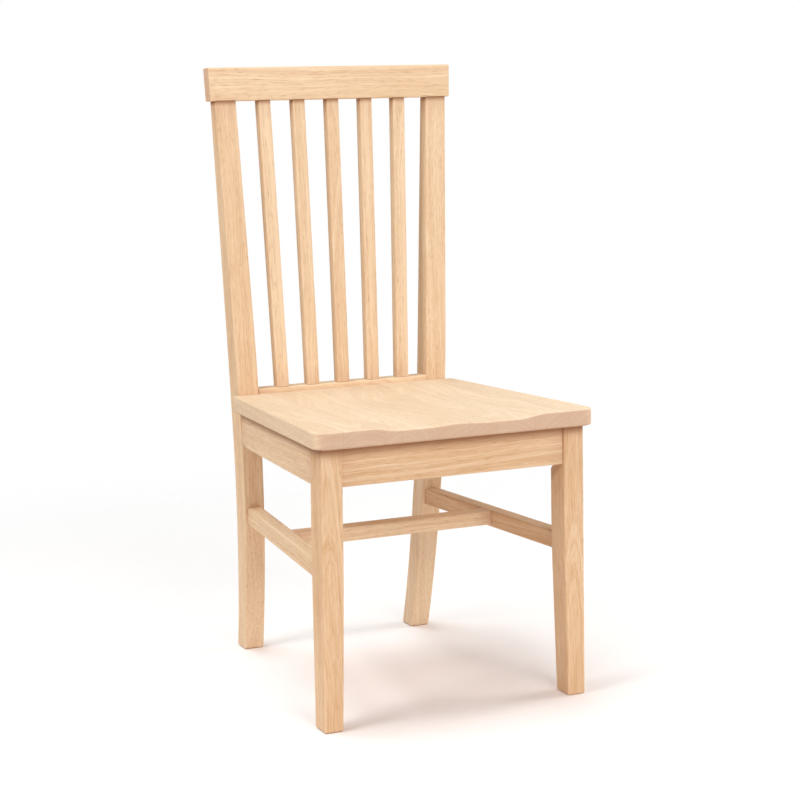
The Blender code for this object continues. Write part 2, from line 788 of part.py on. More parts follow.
def make_rear_block(side, word):
    """Block in the corner between a side apron and the rear rail, with its nose cut back."""
    rail_face = BACK_PLANE - GAP
    corner = apron_inner(rail_face) - GAP
    nose_sum = corner + rail_face - BLOCK_NOSE
    leg_sum = corner + rail_face - BLOCK_LEG
    plan = (
        (side * (nose_sum - rail_face), rail_face),
        (side * (leg_sum - rail_face), rail_face),
        meet_apron(side, leg_sum, False),
        meet_apron(side, nose_sum, False),
    )
    return prism(f"corner_block_rear_{word}", plan, block_bottom, block_top)


def ring_solid(name, start, direction, length, outer, inner):
    """Ring between an outer and an inner outline, each a function of (centre, u, v)."""
    u, v = across(direction)
    end = start + direction * length
    return loft(name, [outer(start, u, v), outer(end, u, v), inner(end, u, v), inner(start, u, v)],
                closed=True, centre=start)


def hexagon(across_flats):
    """Outline of a hexagon with a point at each corner and at the middle of each side."""
    def outline(centre, u, v):
        points = []
        for step in range(12):
            angle = 2.0 * math.pi * step / 12
            radius = across_flats / 2 / (math.cos(math.pi / 6) if step % 2 == 0 else 1.0)
            points.append(centre + u * (radius * math.cos(angle)) + v * (radius * math.sin(angle)))
        return points
    return outline


def disc(radius):
    return lambda centre, u, v: circle(centre, u, v, radius)


def make_hanger_bolt(side, word, leg, block):
    """Bolt screwed into the leg through the block, with a washer and a nut on its free end."""
    middle, into, along = corner_frame(side)
    middle.z = seat_underside(middle.y) - APRON_HEIGHT / 2 + 0.004
    out = -into
    tip = middle + into * BOLT_IN_LEG
    block_face = GAP + BLOCK_THICKNESS
    washer_at = middle + out * (block_face + GAP)
    nut_at = washer_at + out * (WASHER_THICKNESS + GAP)
    length = BOLT_IN_LEG + block_face + 2 * GAP + WASHER_THICKNESS + NUT_THICKNESS + BOLT_BEYOND_NUT
    profile = (
        (0.0, BOLT_RADIUS * 0.3),
        (BOLT_RADIUS * 2, BOLT_RADIUS),
        (length - BOLT_RADIUS * 0.25, BOLT_RADIUS),
        (length, BOLT_RADIUS * 0.75),
    )
    bolt = turned(f"hanger_bolt_{word}", tip, out, profile)
    hole = BOLT_RADIUS + GAP
    drill((leg, block), f"drill_bolt_{word}", tip - out * GAP, out, length, hole)
    washer = ring_solid(f"bolt_washer_{word}", washer_at, out, WASHER_THICKNESS, disc(WASHER_RADIUS), disc(hole))
    nut = ring_solid(f"bolt_nut_{word}", nut_at, out, NUT_THICKNESS, hexagon(NUT_ACROSS_FLATS), disc(hole))
    return [bolt, washer, nut]


def make_screw(name, head_seat, direction, length, targets):
    """Pan-head wood screw: its head rests at head_seat and its shank runs on along direction."""
    profile = (
        (-SCREW_HEAD_HEIGHT, SCREW_HEAD_RADIUS * 0.55),
        (-SCREW_HEAD_HEIGHT * 0.72, SCREW_HEAD_RADIUS * 0.88),
        (-SCREW_HEAD_HEIGHT * 0.3, SCREW_HEAD_RADIUS),
        (-GAP, SCREW_HEAD_RADIUS),
        (-GAP, SCREW_RADIUS),
        (length - SCREW_RADIUS * 2.5, SCREW_RADIUS),
        (length, SCREW_RADIUS * 0.15),
    )
    screw = turned(name, head_seat, direction, profile)
    drill(targets, f"drill_{name}", head_seat - direction * 0.001, direction,
          length + 0.001 + GAP, SCREW_RADIUS + GAP)
    return screw


def front_screw_spot(side):
    """Plan point inside a front block, half way between its bolt and the front apron."""
    middle, into, along = corner_frame(side)
    outer, inner, behind_apron = front_block_span(side)
    bolt_y = middle.y - into.y * BLOCK_THICKNESS / 2
    y = (behind_apron + bolt_y) / 2
    return side * ((outer + inner) / 2 + y), y


def make_seat_screw(name, x, y, block, seat):
    head = Vector((x, y, block_bottom(y) - 0.0001))
    return make_screw(name, head, Z, BLOCK_HEIGHT + GAP + SCREW_IN_SEAT, (block, seat))


def make_block_screws(side, word, block, apron, rail):
    """Two screws in a rear block, one into the rail and one into the side apron, in counterbores."""
    rail_face = BACK_PLANE - GAP
    corner = apron_inner(rail_face) - GAP
    level = block_bottom(rail_face)
    far = BLOCK_LEG * 0.64
    jobs = (
        ("rail", Vector((side * (corner - far), rail_face - SCREW_SEAT_AT_HEAD, level + BLOCK_HEIGHT * 0.68)),
         Y, rail),
        ("apron", Vector((side * (corner - SCREW_SEAT_AT_HEAD), rail_face - far, level + BLOCK_HEIGHT * 0.32)),
         X * side, apron),
    )
    screws = []
    for job, seat_point, direction, into in jobs:
        name = f"block_screw_{word}_{job}"
        screws.append(make_screw(name, seat_point, direction, SCREW_SEAT_AT_HEAD + SCREW_IN_RAIL, (block, into)))
        drill((block,), f"counterbore_{name}", seat_point, -direction, BLOCK_LEG, SCREW_HEAD_RADIUS + 0.0014)
    return screws


# ---------------------------------------------------------------- the chair

def dress(obj, colour, roughness, metallic=0.0):
    obj.data.materials.clear()
    obj.data.materials.append(material(obj.name, colour, roughness, metallic))


def build_chair():
    sides = ((-1, "left"), (1, "right"))
    seat = make_seat()
    legs = {word: make_front_leg(side, word) for side, word in sides}
    posts = {word: make_back_post(side, word) for side, word in sides}
    crest = make_crest({word: peg for word, (post, peg) in posts.items()})
    rail, rail_pegs = make_rear_rail()
    for word, peg in rail_pegs.items():
        mortise(posts[word][0], f"cut_post_{word}_rail", peg)
    slats = [make_slat(index, rail, crest) for index in range(SLAT_COUNT)]
    apron, dowels = make_front_apron(legs)
    wood = [*legs.values(), *(post for post, peg in posts.values()), crest, rail, *slats, *dowels]
    steel = []
    stretchers = {}
    for side, word in sides:
        post = posts[word][0]
        side_apron, pieces = make_side_apron(side, word, legs[word], post)
        stretchers[word] = make_side_stretcher(side, word, legs[word], post)
        front_block = make_front_block(side, word)
        rear_block = make_rear_block(side, word)
        wood += [*pieces, stretchers[word][0], front_block, rear_block]
        steel += make_hanger_bolt(side, word, legs[word], front_block)
        steel += make_block_screws(side, word, rear_block, side_apron, rail)
        spot_x, spot_y = front_screw_spot(side)
        steel.append(make_seat_screw(f"seat_screw_front_{word}", spot_x, spot_y, front_block, seat))
        inset = BLOCK_NOSE * 1.5
        spot_x = side * (apron_inner(BACK_PLANE) - inset)
        steel.append(make_seat_screw(f"seat_screw_rear_{word}", spot_x, BACK_PLANE - inset, rear_block, seat))
    wood.append(make_cross_stretcher(stretchers))
    dress(seat, WOOD_PALE, 0.52)
    for piece in wood:
        plain = "block" in piece.name or "dowel" in piece.name
        dress(piece, WOOD_PLAIN if plain else WOOD, 0.55)
    for piece in steel:
        dress(piece, STEEL, 0.38, 1.0)
    return [seat, *wood, *steel]


def centre_on_floor(pieces):
    """Slides everything along y so that the origin lies under the middle of the whole chair."""
    bpy.context.view_layer.update()
    reach = [(piece.matrix_world @ Vector(corner)).y for piece in pieces for corner in piece.bound_box]
    shift = -(min(reach) + max(reach)) / 2
    for obj in bpy.data.objects:
        obj.location.y += shift
    bpy.context.view_layer.update()


clear_scene()
centre_on_floor(build_chair())
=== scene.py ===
# %% [markdown]
# # A slat-back dining chair in bare, pale hardwood
#
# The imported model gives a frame: every piece of the chair as a plain solid, in its true place.  This
# lesson dresses that frame.  Each wooden piece that the eye reaches is made again with finer
# roundings and given a grain that runs along its own board, the way a joiner would lay it out.  The
# frame comes first, because all places are read from it.

# %% Load the frame
import json
import math
import random

import bmesh
import bpy
from mathutils import Matrix, Vector


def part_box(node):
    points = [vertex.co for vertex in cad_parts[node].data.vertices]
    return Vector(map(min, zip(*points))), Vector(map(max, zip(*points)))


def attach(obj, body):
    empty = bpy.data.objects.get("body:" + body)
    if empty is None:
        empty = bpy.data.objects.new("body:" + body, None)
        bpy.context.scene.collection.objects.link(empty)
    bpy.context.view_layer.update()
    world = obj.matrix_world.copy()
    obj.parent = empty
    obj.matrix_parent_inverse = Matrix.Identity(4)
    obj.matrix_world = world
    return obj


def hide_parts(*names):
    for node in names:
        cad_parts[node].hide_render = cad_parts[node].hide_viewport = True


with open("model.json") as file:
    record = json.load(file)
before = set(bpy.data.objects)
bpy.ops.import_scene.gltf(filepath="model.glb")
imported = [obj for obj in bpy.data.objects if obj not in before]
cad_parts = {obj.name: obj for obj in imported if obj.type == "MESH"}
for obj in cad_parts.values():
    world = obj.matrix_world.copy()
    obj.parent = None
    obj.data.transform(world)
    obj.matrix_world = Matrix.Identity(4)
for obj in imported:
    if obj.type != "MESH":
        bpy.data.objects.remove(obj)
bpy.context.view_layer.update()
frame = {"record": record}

scene = bpy.context.scene

# %% [markdown]
# ## The camera
#
# A chair is usually shown from a standing person's chest height, a little to one side, through a long
# lens so that the legs stay nearly parallel.  The camera is placed by two angles, a small tilt and a
# point in space, all in metres and degrees, which is easier to adjust than a matrix typed in by hand.

# %% Camera
CAMERA_PLACE = Vector((-1.28739, -2.90465, 0.96577))
CAMERA_TURN = math.radians(-24.2466)
CAMERA_PITCH = math.radians(-9.2128)
CAMERA_ROLL = math.radians(-0.8987)
CAMERA_LENS = 90.176
SENSOR_WIDTH = 36.0


def camera_axes():
    """Right, top and backward directions of the camera, as a rotation."""
    ahead = Vector((
        -math.sin(CAMERA_TURN) * math.cos(CAMERA_PITCH),
        math.cos(CAMERA_TURN) * math.cos(CAMERA_PITCH),
        math.sin(CAMERA_PITCH),
    ))
    level = Vector((math.cos(CAMERA_TURN), math.sin(CAMERA_TURN), 0.0))
    overhead = level.cross(ahead)
    right = level * math.cos(CAMERA_ROLL) + overhead * math.sin(CAMERA_ROLL)
    top = overhead * math.cos(CAMERA_ROLL) - level * math.sin(CAMERA_ROLL)
    return Matrix((right, top, -ahead)).transposed().to_4x4()


def place_camera():
    data = bpy.data.cameras.new("studio_camera")
    data.sensor_width = SENSOR_WIDTH
    data.lens = CAMERA_LENS
    camera = bpy.data.objects.new("studio_camera", data)
    scene.collection.objects.link(camera)
    camera.matrix_world = Matrix.Translation(CAMERA_PLACE) @ camera_axes()
    return camera


scene.camera = place_camera()
print("camera stands", round(CAMERA_PLACE.length, 2), "m from the middle of the floor under the chair")

# %% [markdown]
# ## Sizes
#
# A joiner works from a rod: one list of sizes that the pieces are set out from.  Whatever can be read
# from the frame is read from it.  Only sizes that several pieces share stand here; a size that one
# piece alone needs is written where that piece is made.

# %% Seat sizes, in metres
X, Y, Z = Vector((1, 0, 0)), Vector((0, 1, 0)), Vector((0, 0, 1))
SIDES = ((-1, "left"), (1, "right"))

SEAT_LOW, SEAT_HIGH = (Vector(corner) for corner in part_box("seat_panel"))
SEAT_FRONT = SEAT_LOW.y
SEAT_BACK = SEAT_HIGH.y
SEAT_DEPTH = SEAT_BACK - SEAT_FRONT
SEAT_HEIGHT = 0.457
SEAT_WIDTH_FRONT = 0.467
SEAT_WIDTH_REAR = 0.401
SEAT_THICKNESS = 0.026
SEAT_FALL = 0.009
SEAT_SLOPE = SEAT_FALL / SEAT_DEPTH
print("seat", round(SEAT_DEPTH, 4), "m deep, falling", SEAT_FALL * 1000, "mm to the back")

# %% Leg, post and board sizes, in metres
GAP = 0.0003
EDGE = 0.0025
FOOT_EDGE = 0.002

LEG_WIDTH, LEG_DEPTH = 0.034, 0.045
LEG_FOOT_WIDTH, LEG_FOOT_DEPTH = 0.030, 0.039
LEG_TAPER_START = 0.262
LEG_SPLAY = 0.003
LEG_INSET_SIDE, LEG_INSET_FRONT = 0.0154, 0.0183
LEG_FRONT = SEAT_FRONT + LEG_INSET_FRONT
LEG_REAR = LEG_FRONT + LEG_DEPTH

POST_WIDTH, POST_FOOT_WIDTH = 0.036, 0.034
POST_DEPTH, POST_DEPTH_TOP, POST_DEPTH_FOOT = 0.042, 0.0252, 0.037
POST_INSET_SIDE = 0.0112
POST_FLARE, POST_RAKE, POST_BEND, POST_SWEEP = 0.036, 0.057, 0.080, 0.049
BACK_PLANE = SEAT_BACK + GAP
TAPER_BLEND = 0.06

BACK_HEIGHT = 0.9825
CREST_HEIGHT = 0.054
RAIL_RISE = 0.0083
APRON_HEIGHT, APRON_THICKNESS, APRON_INSET_SIDE = 0.060, 0.019, 0.002
STRETCHER_Z = 0.2416
SLAT_COUNT, SLAT_WIDTH = 5, 0.021
print("legs begin at y =", round(LEG_FRONT, 4), "and posts at y =", round(BACK_PLANE, 4))

# %% [markdown]
# ## Rules that several pieces share
#
# The posts lean outwards, sweep back to the foot and rake back above the seat.  The seat falls a
# little towards the back.  Each of these is a small function of height or depth, because a rail that
# meets a leaning post has to know where the post is at that very height.

# %% Slopes and bends
def smooth(value):
    value = min(1.0, max(0.0, value))
    return value * value * (3.0 - 2.0 * value)


def ramp(height, blend):
    """Height above a bend, eased in over the length blend."""
    if height <= 0.0:
        return 0.0
    if height < blend:
        return height * height / (2.0 * blend)
    return height - blend / 2.0


def between(y, start, end, first, last):
    return first + (last - first) * (y - start) / (end - start)


def seat_fall(y):
    return SEAT_FALL * (y - SEAT_FRONT) / SEAT_DEPTH


def seat_underside(y):
    return SEAT_HEIGHT - SEAT_THICKNESS - seat_fall(y)


SEAT_TOP_REAR = SEAT_HEIGHT - SEAT_FALL
RAIL_TOP = SEAT_TOP_REAR + RAIL_RISE
RAIL_BOTTOM = seat_underside(SEAT_BACK) - APRON_HEIGHT
SWEEP_START = seat_underside(SEAT_BACK)
SWEEP_RADIUS = (SWEEP_START ** 2 + POST_SWEEP ** 2) / (2.0 * POST_SWEEP)
RAKE_UP = Vector((0.0, POST_RAKE, 1.0)).normalized()
RAKE_BACK = Vector((0.0, 1.0, -POST_RAKE)).normalized()
print("the posts sweep back on a radius of", round(SWEEP_RADIUS, 2), "m")

# %% Where the legs and posts are
def leg_taper(z):
    return ramp(LEG_TAPER_START - z, TAPER_BLEND) / ramp(LEG_TAPER_START, TAPER_BLEND)


def leg_width(z):
    return LEG_WIDTH - (LEG_WIDTH - LEG_FOOT_WIDTH) * leg_taper(z)


def leg_depth(z):
    return LEG_DEPTH - (LEG_DEPTH - LEG_FOOT_DEPTH) * leg_taper(z)


def leg_outer(z):
    top = SEAT_HEIGHT - SEAT_THICKNESS
    return SEAT_WIDTH_FRONT / 2 - LEG_INSET_SIDE + LEG_SPLAY * (1.0 - z / top)


def post_outer(z):
    return SEAT_WIDTH_REAR / 2 - POST_INSET_SIDE + POST_FLARE * (z - SEAT_TOP_REAR)


def post_width(z):
    taper = ramp(STRETCHER_Z - z, TAPER_BLEND) / ramp(STRETCHER_Z, TAPER_BLEND)
    return POST_WIDTH - (POST_WIDTH - POST_FOOT_WIDTH) * taper


def post_inner(z):
    return post_outer(z) - post_width(z)


def post_front(z):
    if z < SWEEP_START:
        return BACK_PLANE + SWEEP_RADIUS - math.sqrt(SWEEP_RADIUS ** 2 - (SWEEP_START - z) ** 2)
    return BACK_PLANE + POST_RAKE * ramp(z - RAIL_TOP, POST_BEND)


CREST_BOTTOM = BACK_HEIGHT - CREST_HEIGHT * RAKE_UP.z
CREST_FRONT = Vector((0.0, post_front(CREST_BOTTOM), CREST_BOTTOM))


def post_depth(z):
    if z < RAIL_TOP:
        return POST_DEPTH_FOOT + (POST_DEPTH - POST_DEPTH_FOOT) * min(1.0, z / SWEEP_START)
    share = ramp(z - RAIL_TOP, POST_BEND) / ramp(CREST_BOTTOM - RAIL_TOP, POST_BEND)
    return POST_DEPTH + (POST_DEPTH_TOP - POST_DEPTH) * share


print("crest stands on the posts at", round(CREST_BOTTOM, 4), "m")

# %% Where the aprons, stretchers and slats are
def apron_outer(y):
    front = leg_outer(seat_underside(LEG_REAR) - APRON_HEIGHT / 2) - APRON_INSET_SIDE
    rear = post_outer(seat_underside(SEAT_BACK) - APRON_HEIGHT / 2) - APRON_INSET_SIDE
    return between(y, LEG_REAR, BACK_PLANE, front, rear)


def stretcher_centre(y):
    front = leg_outer(STRETCHER_Z) - leg_width(STRETCHER_Z) / 2
    rear = post_outer(STRETCHER_Z) - post_width(STRETCHER_Z) / 2
    return between(y, LEG_FRONT + leg_depth(STRETCHER_Z), post_front(STRETCHER_Z), front, rear)


def slat_pitch(z):
    gap = (2 * post_inner(z) - SLAT_COUNT * SLAT_WIDTH) / (SLAT_COUNT + 1)
    return gap + SLAT_WIDTH


print("slats", round(slat_pitch(RAIL_TOP) * 1000, 1), "mm apart at the rail,",
      round(slat_pitch(CREST_BOTTOM) * 1000, 1), "mm at the crest")

# %% [markdown]
# ## Bare hardwood
#
# Sanded, unfinished timber has almost no gloss.  What the eye reads is the figure: soft growth rings,
# fine fibres that run for centimetres, and short dark pores.  All of these are parts of one solid
# pattern in the tree, so the material is built as a solid too.  Each board carries an attribute that
# says where in the tree every point of it once was.  The same pattern then gives long streaks on a
# face and arcs on an end, with no seam at the corner, which a flat picture pasted on could not do.
#
# Node trees are long to write by hand, so a few helpers come first: each adds one node, fills its
# sockets with a value or a link, and hands back the socket to go on from.

# %% Helpers that add a node
def feed(tree, sockets, values):
    """Fills sockets in turn, each with a link or with a plain value."""
    for target, value in zip(sockets, values):
        if isinstance(value, bpy.types.NodeSocket):
            tree.links.new(value, target)
        else:
            target.default_value = value


def put(tree, kind, settings=None, **sockets):
    """Adds a node; sockets are given by their name with spaces as underscores."""
    node = tree.nodes.new(kind)
    for key, value in (settings or {}).items():
        setattr(node, key, value)
    for key, value in sockets.items():
        wanted = key.replace("_", " ")
        feed(tree, [next(s for s in node.inputs if s.name == wanted and s.enabled)], [value])
    return node


def maths(tree, operation, *values, clamp=False):
    node = tree.nodes.new("ShaderNodeMath")
    node.operation = operation
    node.use_clamp = clamp
    feed(tree, node.inputs, values)
    return node.outputs[0]


def chained(operation):
    """A helper that works through any number of values in turn."""
    def run(tree, *values):
        result = values[0]
        for value in values[1:]:
            result = maths(tree, operation, result, value)
        return result
    return run


product, less, most = chained("MULTIPLY"), chained("SUBTRACT"), chained("MAXIMUM")


def scaled(tree, value, factor, added):
    return maths(tree, "MULTIPLY_ADD", value, factor, added)


def vectors(tree, operation, *values):
    node = tree.nodes.new("ShaderNodeVectorMath")
    node.operation = operation
    feed(tree, node.inputs, values)
    return node.outputs["Value" if operation == "LENGTH" else "Vector"]


print("first helpers:", ", ".join(helper.__name__ for helper in (feed, put, maths, scaled, vectors)))

# %% Helpers for colours, steps and noise
def mix(tree, share, first, second, blend="MIX"):
    """Colour between first and second; a plain colour is three numbers."""
    node = tree.nodes.new("ShaderNodeMix")
    node.data_type = "RGBA"
    node.blend_type = blend
    colours = [(*value, 1.0) if isinstance(value, tuple) else value for value in (first, second)]
    feed(tree, (node.inputs[0], node.inputs[6], node.inputs[7]), (share, *colours))
    return node.outputs[2]


def band(tree, value, low, high, out_low=0.0, out_high=1.0):
    """A smooth step from out_low at low to out_high at high."""
    node = put(tree, "ShaderNodeMapRange", {"interpolation_type": "SMOOTHSTEP"}, Value=value)
    for name, number in (("From Min", low), ("From Max", high), ("To Min", out_low), ("To Max", out_high)):
        node.inputs[name].default_value = number
    return node.outputs["Result"]


def noise(tree, place, scale, detail=2.0, roughness=0.5):
    return put(tree, "ShaderNodeTexNoise", Vector=place, Scale=scale, Detail=detail, Roughness=roughness)


def object_place(tree):
    return put(tree, "ShaderNodeTexCoord").outputs["Object"]


def axes_of(tree, place):
    return put(tree, "ShaderNodeSeparateXYZ", Vector=place).outputs


print("more helpers:", ", ".join(helper.__name__ for helper in (mix, band, noise, object_place, axes_of)))

# %% [markdown]
# ### Rings, fibres and pores
#
# The figure is mixed from coarse to fine, as a grader would describe a board: its overall tone, a
# cloudy drift, the rings, the fibres, and last the pores.  The rings are read along the distance from
# the heart of the tree, which is bent a little first, because no trunk is a perfect cylinder.  A noise
# that is stretched along the trunk gives fibres: the smaller its stretch, the longer they are.

# %% Rings, fibres and pores
TRUNK_BEND = 0.036
RINGS_PER_METRE = 125.0
LATE_WOOD_WIDTH = 0.045


def along_grain(tree, place, stretch, scale, detail, roughness=0.5):
    drawn_out = vectors(tree, "MULTIPLY", place, (1.0, 1.0, stretch))
    return noise(tree, drawn_out, scale, detail, roughness)


def bent_trunk(tree, place):
    drift = along_grain(tree, place, 0.28, 8.0, 2.0).outputs["Color"]
    centred = vectors(tree, "SUBTRACT", drift, (0.5, 0.5, 0.5))
    return vectors(tree, "MULTIPLY_ADD", centred, (TRUNK_BEND, TRUNK_BEND, TRUNK_BEND), place)


def growth_rings(tree, bent):
    """Early wood as a soft band, and the thin darker line of late wood between two of them."""
    radius = vectors(tree, "LENGTH", vectors(tree, "MULTIPLY", bent, (1.0, 1.0, 0.0)))
    turns = product(tree, radius, RINGS_PER_METRE)
    wave = put(tree, "ShaderNodeTexNoise", {"noise_dimensions": "1D"}, W=turns, Scale=1.0, Detail=3.0,
               Roughness=0.65).outputs["Fac"]
    off_middle = maths(tree, "ABSOLUTE", less(tree, wave, 0.5))
    late_wood = band(tree, off_middle, 0.0, LATE_WOOD_WIDTH, 1.0, 0.0)
    return band(tree, wave, 0.32, 0.68), late_wood


def fibres_and_pores(tree, place, bent, rings):
    fibres = along_grain(tree, bent, 0.022, 620.0, 2.0, 0.6).outputs["Fac"]
    hairs = along_grain(tree, bent, 0.03, 1500.0, 1.0).outputs["Fac"]
    clouds = along_grain(tree, place, 0.22, 24.0, 2.0).outputs["Fac"]
    speckle = along_grain(tree, bent, 0.055, 1100.0, 0.0).outputs["Fac"]
    pores = product(tree, band(tree, speckle, 0.60, 0.74), band(tree, rings, 0.0, 0.8, 0.35, 1.0))
    return fibres, hairs, clouds, pores


print("a ring is about", round(1000 / RINGS_PER_METRE, 1), "mm wide")

# %% [markdown]
# ### From the figure to a colour
#
# Every part of the figure pushes one number, the share of honey in a pale ground.  Pores then darken
# it, cut ends drink light and turn browner, and worn edges are a little paler.  The same parts give
# the roughness and a very shallow relief, so that light catches the wood where the eye sees a line.

# %% Wood figure
PALE = (0.890, 0.680, 0.470)
HONEY = (0.660, 0.385, 0.195)
BROWN = (0.430, 0.225, 0.105)
END_TINT = (0.640, 0.400, 0.268)
# The next colour is the brown that painted shade is mixed towards.
PAINTED_SHADE_COLOUR = (0.330, 0.135, 0.055)
HONEY_AT_REST = 0.27
RING_SHARE, LATE_WOOD_SHARE = 0.28, 0.13
FIBRE_SHARE, HAIR_SHARE, CLOUD_SHARE = 0.95, 0.50, 0.60
PORE_SHARE, END_SHARE, EDGE_SHARE = 0.42, 0.72, 0.05


def honey_share(tree, parts, tone, end, strength):
    rings, late_wood, fibres, hairs, clouds = parts
    share = product(tree, less(tree, rings, 0.5), RING_SHARE * strength)
    share = scaled(tree, late_wood, LATE_WOOD_SHARE * strength, share)
    share = product(tree, share, scaled(tree, end, 1.6, 1.0))
    for part, weight in ((fibres, FIBRE_SHARE), (hairs, HAIR_SHARE), (clouds, CLOUD_SHARE)):
        share = scaled(tree, less(tree, part, 0.5), weight * strength, share)
    return maths(tree, "ADD", share, maths(tree, "ADD", tone, HONEY_AT_REST), clamp=True)


def wood_figure(tree, place, tone, edge, end, strength=1.0):
    """Colour, roughness and height at a place in the tree, whose third axis is the trunk."""
    bent = bent_trunk(tree, place)
    rings, late_wood = growth_rings(tree, bent)
    fibres, hairs, clouds, pores = fibres_and_pores(tree, place, bent, rings)
    share = honey_share(tree, (rings, late_wood, fibres, hairs, clouds), tone, end, strength)
    colour = mix(tree, share, PALE, HONEY)
    colour = mix(tree, product(tree, pores, PORE_SHARE * strength), colour, BROWN)
    colour = mix(tree, product(tree, end, END_SHARE), colour, END_TINT)
    colour = mix(tree, product(tree, edge, EDGE_SHARE), colour, PALE)
    roughness = scaled(tree, edge, -0.05, 0.50)
    roughness = scaled(tree, fibres, 0.16, roughness)
    height = scaled(tree, hairs, 0.25, product(tree, fibres, 0.6))
    height = scaled(tree, pores, -0.9, height)
    return colour, roughness, height


def wood_shader(tree, colour, roughness, height, grain_depth):
    shader = tree.nodes["Principled BSDF"]
    shader.inputs["Specular IOR Level"].default_value = 0.32
    bump = put(tree, "ShaderNodeBump", Strength=0.35, Distance=grain_depth, Height=height)
    sockets = (shader.inputs[name] for name in ("Base Color", "Roughness", "Normal"))
    feed(tree, sockets, (colour, roughness, bump.outputs["Normal"]))


print("pale ground", PALE, "with up to all of it turned to honey", HONEY)

# %% [markdown]
# ### Where light hardly comes
#
# Here shade is painted into the colour: the wood is turned browner where shade falls, close under the
# overhanging seat, under the crest, and on the inner face of a front leg just below the aprons.  Each
# patch of painted shade is a smooth step in height, measured along the slope of the seat or square to
# the rake of the back.  Attributes on each piece say which of them it takes, so a rail elsewhere at the
# same height is left alone.

# %% Painted shade in sheltered places
# How far the painted shade runs down from the seat and from the crest, and the slant and share of the
# painted shadow below the aprons.
SEAT_SHADE_REACH = 0.030
CREST_SHADE_REACH = 0.011
APRON_SHADOW_SLANT = 0.87
APRON_SHADOW_SHARE = 0.48


def attribute(tree, name, output="Fac"):
    return put(tree, "ShaderNodeAttribute", {"attribute_name": name}).outputs[output]


def apron_shadow_patch(tree, x, y, z):
    """A slanting patch of painted shadow on the inner face of a front leg, just below the aprons."""
    underside = seat_underside(LEG_REAR) - APRON_HEIGHT
    inner = leg_outer(underside) - leg_width(underside)
    below = less(tree, underside, z)
    behind = less(tree, y, LEG_FRONT)
    slant = scaled(tree, behind, -APRON_SHADOW_SLANT, below)
    sideways = maths(tree, "ABSOLUTE", x)
    return product(tree, band(tree, slant, -0.012, 0.002, APRON_SHADOW_SHARE, 0.0),
                   band(tree, sideways, inner, inner + 0.004, 1.0, 0.0),
                   band(tree, behind, 0.004, 0.010), band(tree, below, 0.0, 0.001))


def with_painted_shade(tree, colour):
    # Mixes the colour towards the shade brown: painted shade close under the seat, under the crest and on
    # the inner face of a front leg below the aprons.
    x, y, z = axes_of(tree, object_place(tree))
    under_seat = attribute(tree, "under_seat")
    level = scaled(tree, y, SEAT_SLOPE, z)
    underside = seat_underside(SEAT_FRONT) + SEAT_FRONT * SEAT_SLOPE
    shade_near_seat = maths(tree, "POWER", band(tree, level, underside - SEAT_SHADE_REACH, underside), 2.0)
    shade_near_seat = product(tree, shade_near_seat, under_seat)
    height = scaled(tree, y, POST_RAKE, z)
    crest = CREST_FRONT.z + CREST_FRONT.y * POST_RAKE
    shade_near_crest = maths(tree, "POWER", band(tree, height, crest - CREST_SHADE_REACH, crest), 1.5)
    shade_near_crest = product(tree, shade_near_crest, attribute(tree, "under_crest"))
    shade_near_apron = product(tree, apron_shadow_patch(tree, x, y, z), under_seat)
    return mix(tree, most(tree, shade_near_apron, shade_near_seat, shade_near_crest), colour, PAINTED_SHADE_COLOUR)


print("shelter reaches", SEAT_SHADE_REACH * 1000, "mm down from the seat")

# %% Wood for the boards
GRAIN_DEPTH = 0.00025


def new_material(name):
    material = bpy.data.materials.new(name)
    material.use_nodes = True
    return material, material.node_tree


def board_wood(name):
    """Wood for pieces cut from one board; the piece's attributes say where from."""
    material, tree = new_material(name)
    place = attribute(tree, "place_in_tree", "Vector")
    colour, roughness, height = wood_figure(tree, place, attribute(tree, "tone"), attribute(tree, "edge"),
                                            attribute(tree, "end"))
    wood_shader(tree, with_painted_shade(tree, colour), roughness, height, GRAIN_DEPTH)
    return material


bare_wood = board_wood("bare hardwood, sanded")
print("made", bare_wood.name, "with", len(bare_wood.node_tree.nodes), "nodes")

# %% [markdown]
# ### The seat's staves
#
# A solid seat is glued up from narrow staves, so that it stays flat, and each stave comes from
# another place in another tree.  The joints are straight lines from front to back.  A colour ramp
# with hard steps, read along x, hands every stave its own shift in the tree and its own tone, so the
# joints stay perfectly sharp however coarse the mesh is.  Reading the ramp twice, a hair to the left
# and a hair to the right, finds the glue lines: there the two readings differ.

# %% Staves of the seat
STAVE_JOINTS = (-0.190, -0.126, -0.098, -0.041, 0.014, 0.060, 0.124, 0.181)
STAVE_SPAN = 0.6
STAVE_SEED = 11
HEART_REACH = 0.045
HEART_RISE, HEART_BELOW = 0.055, 0.030
TREE_SPREAD = 5.0


def stave_picks(draw):
    """Per stave: how far sideways the tree's heart lies, how far below, and the tone; all 0 to 1."""
    sides = (-SEAT_WIDTH_FRONT / 2, *STAVE_JOINTS, SEAT_WIDTH_FRONT / 2)
    picks = []
    for left, right in zip(sides, sides[1:]):
        heart = draw.uniform(-HEART_REACH, HEART_REACH) - (left + right) / 2
        picks.append((heart / STAVE_SPAN + 0.5, draw.random(), draw.random()))
    return picks


def stave_ramp(tree, across, picks):
    node = put(tree, "ShaderNodeValToRGB", Fac=scaled(tree, across, 1.0 / STAVE_SPAN, 0.5))
    node.color_ramp.interpolation = "CONSTANT"
    stops = node.color_ramp.elements
    for index, (joint, pick) in enumerate(zip((-STAVE_SPAN / 2, *STAVE_JOINTS), picks)):
        stop = stops[index] if index < 2 else stops.new(0.999)
        stop.position = joint / STAVE_SPAN + 0.5
        stop.color = (*pick, 1.0)
    return node.outputs["Color"]


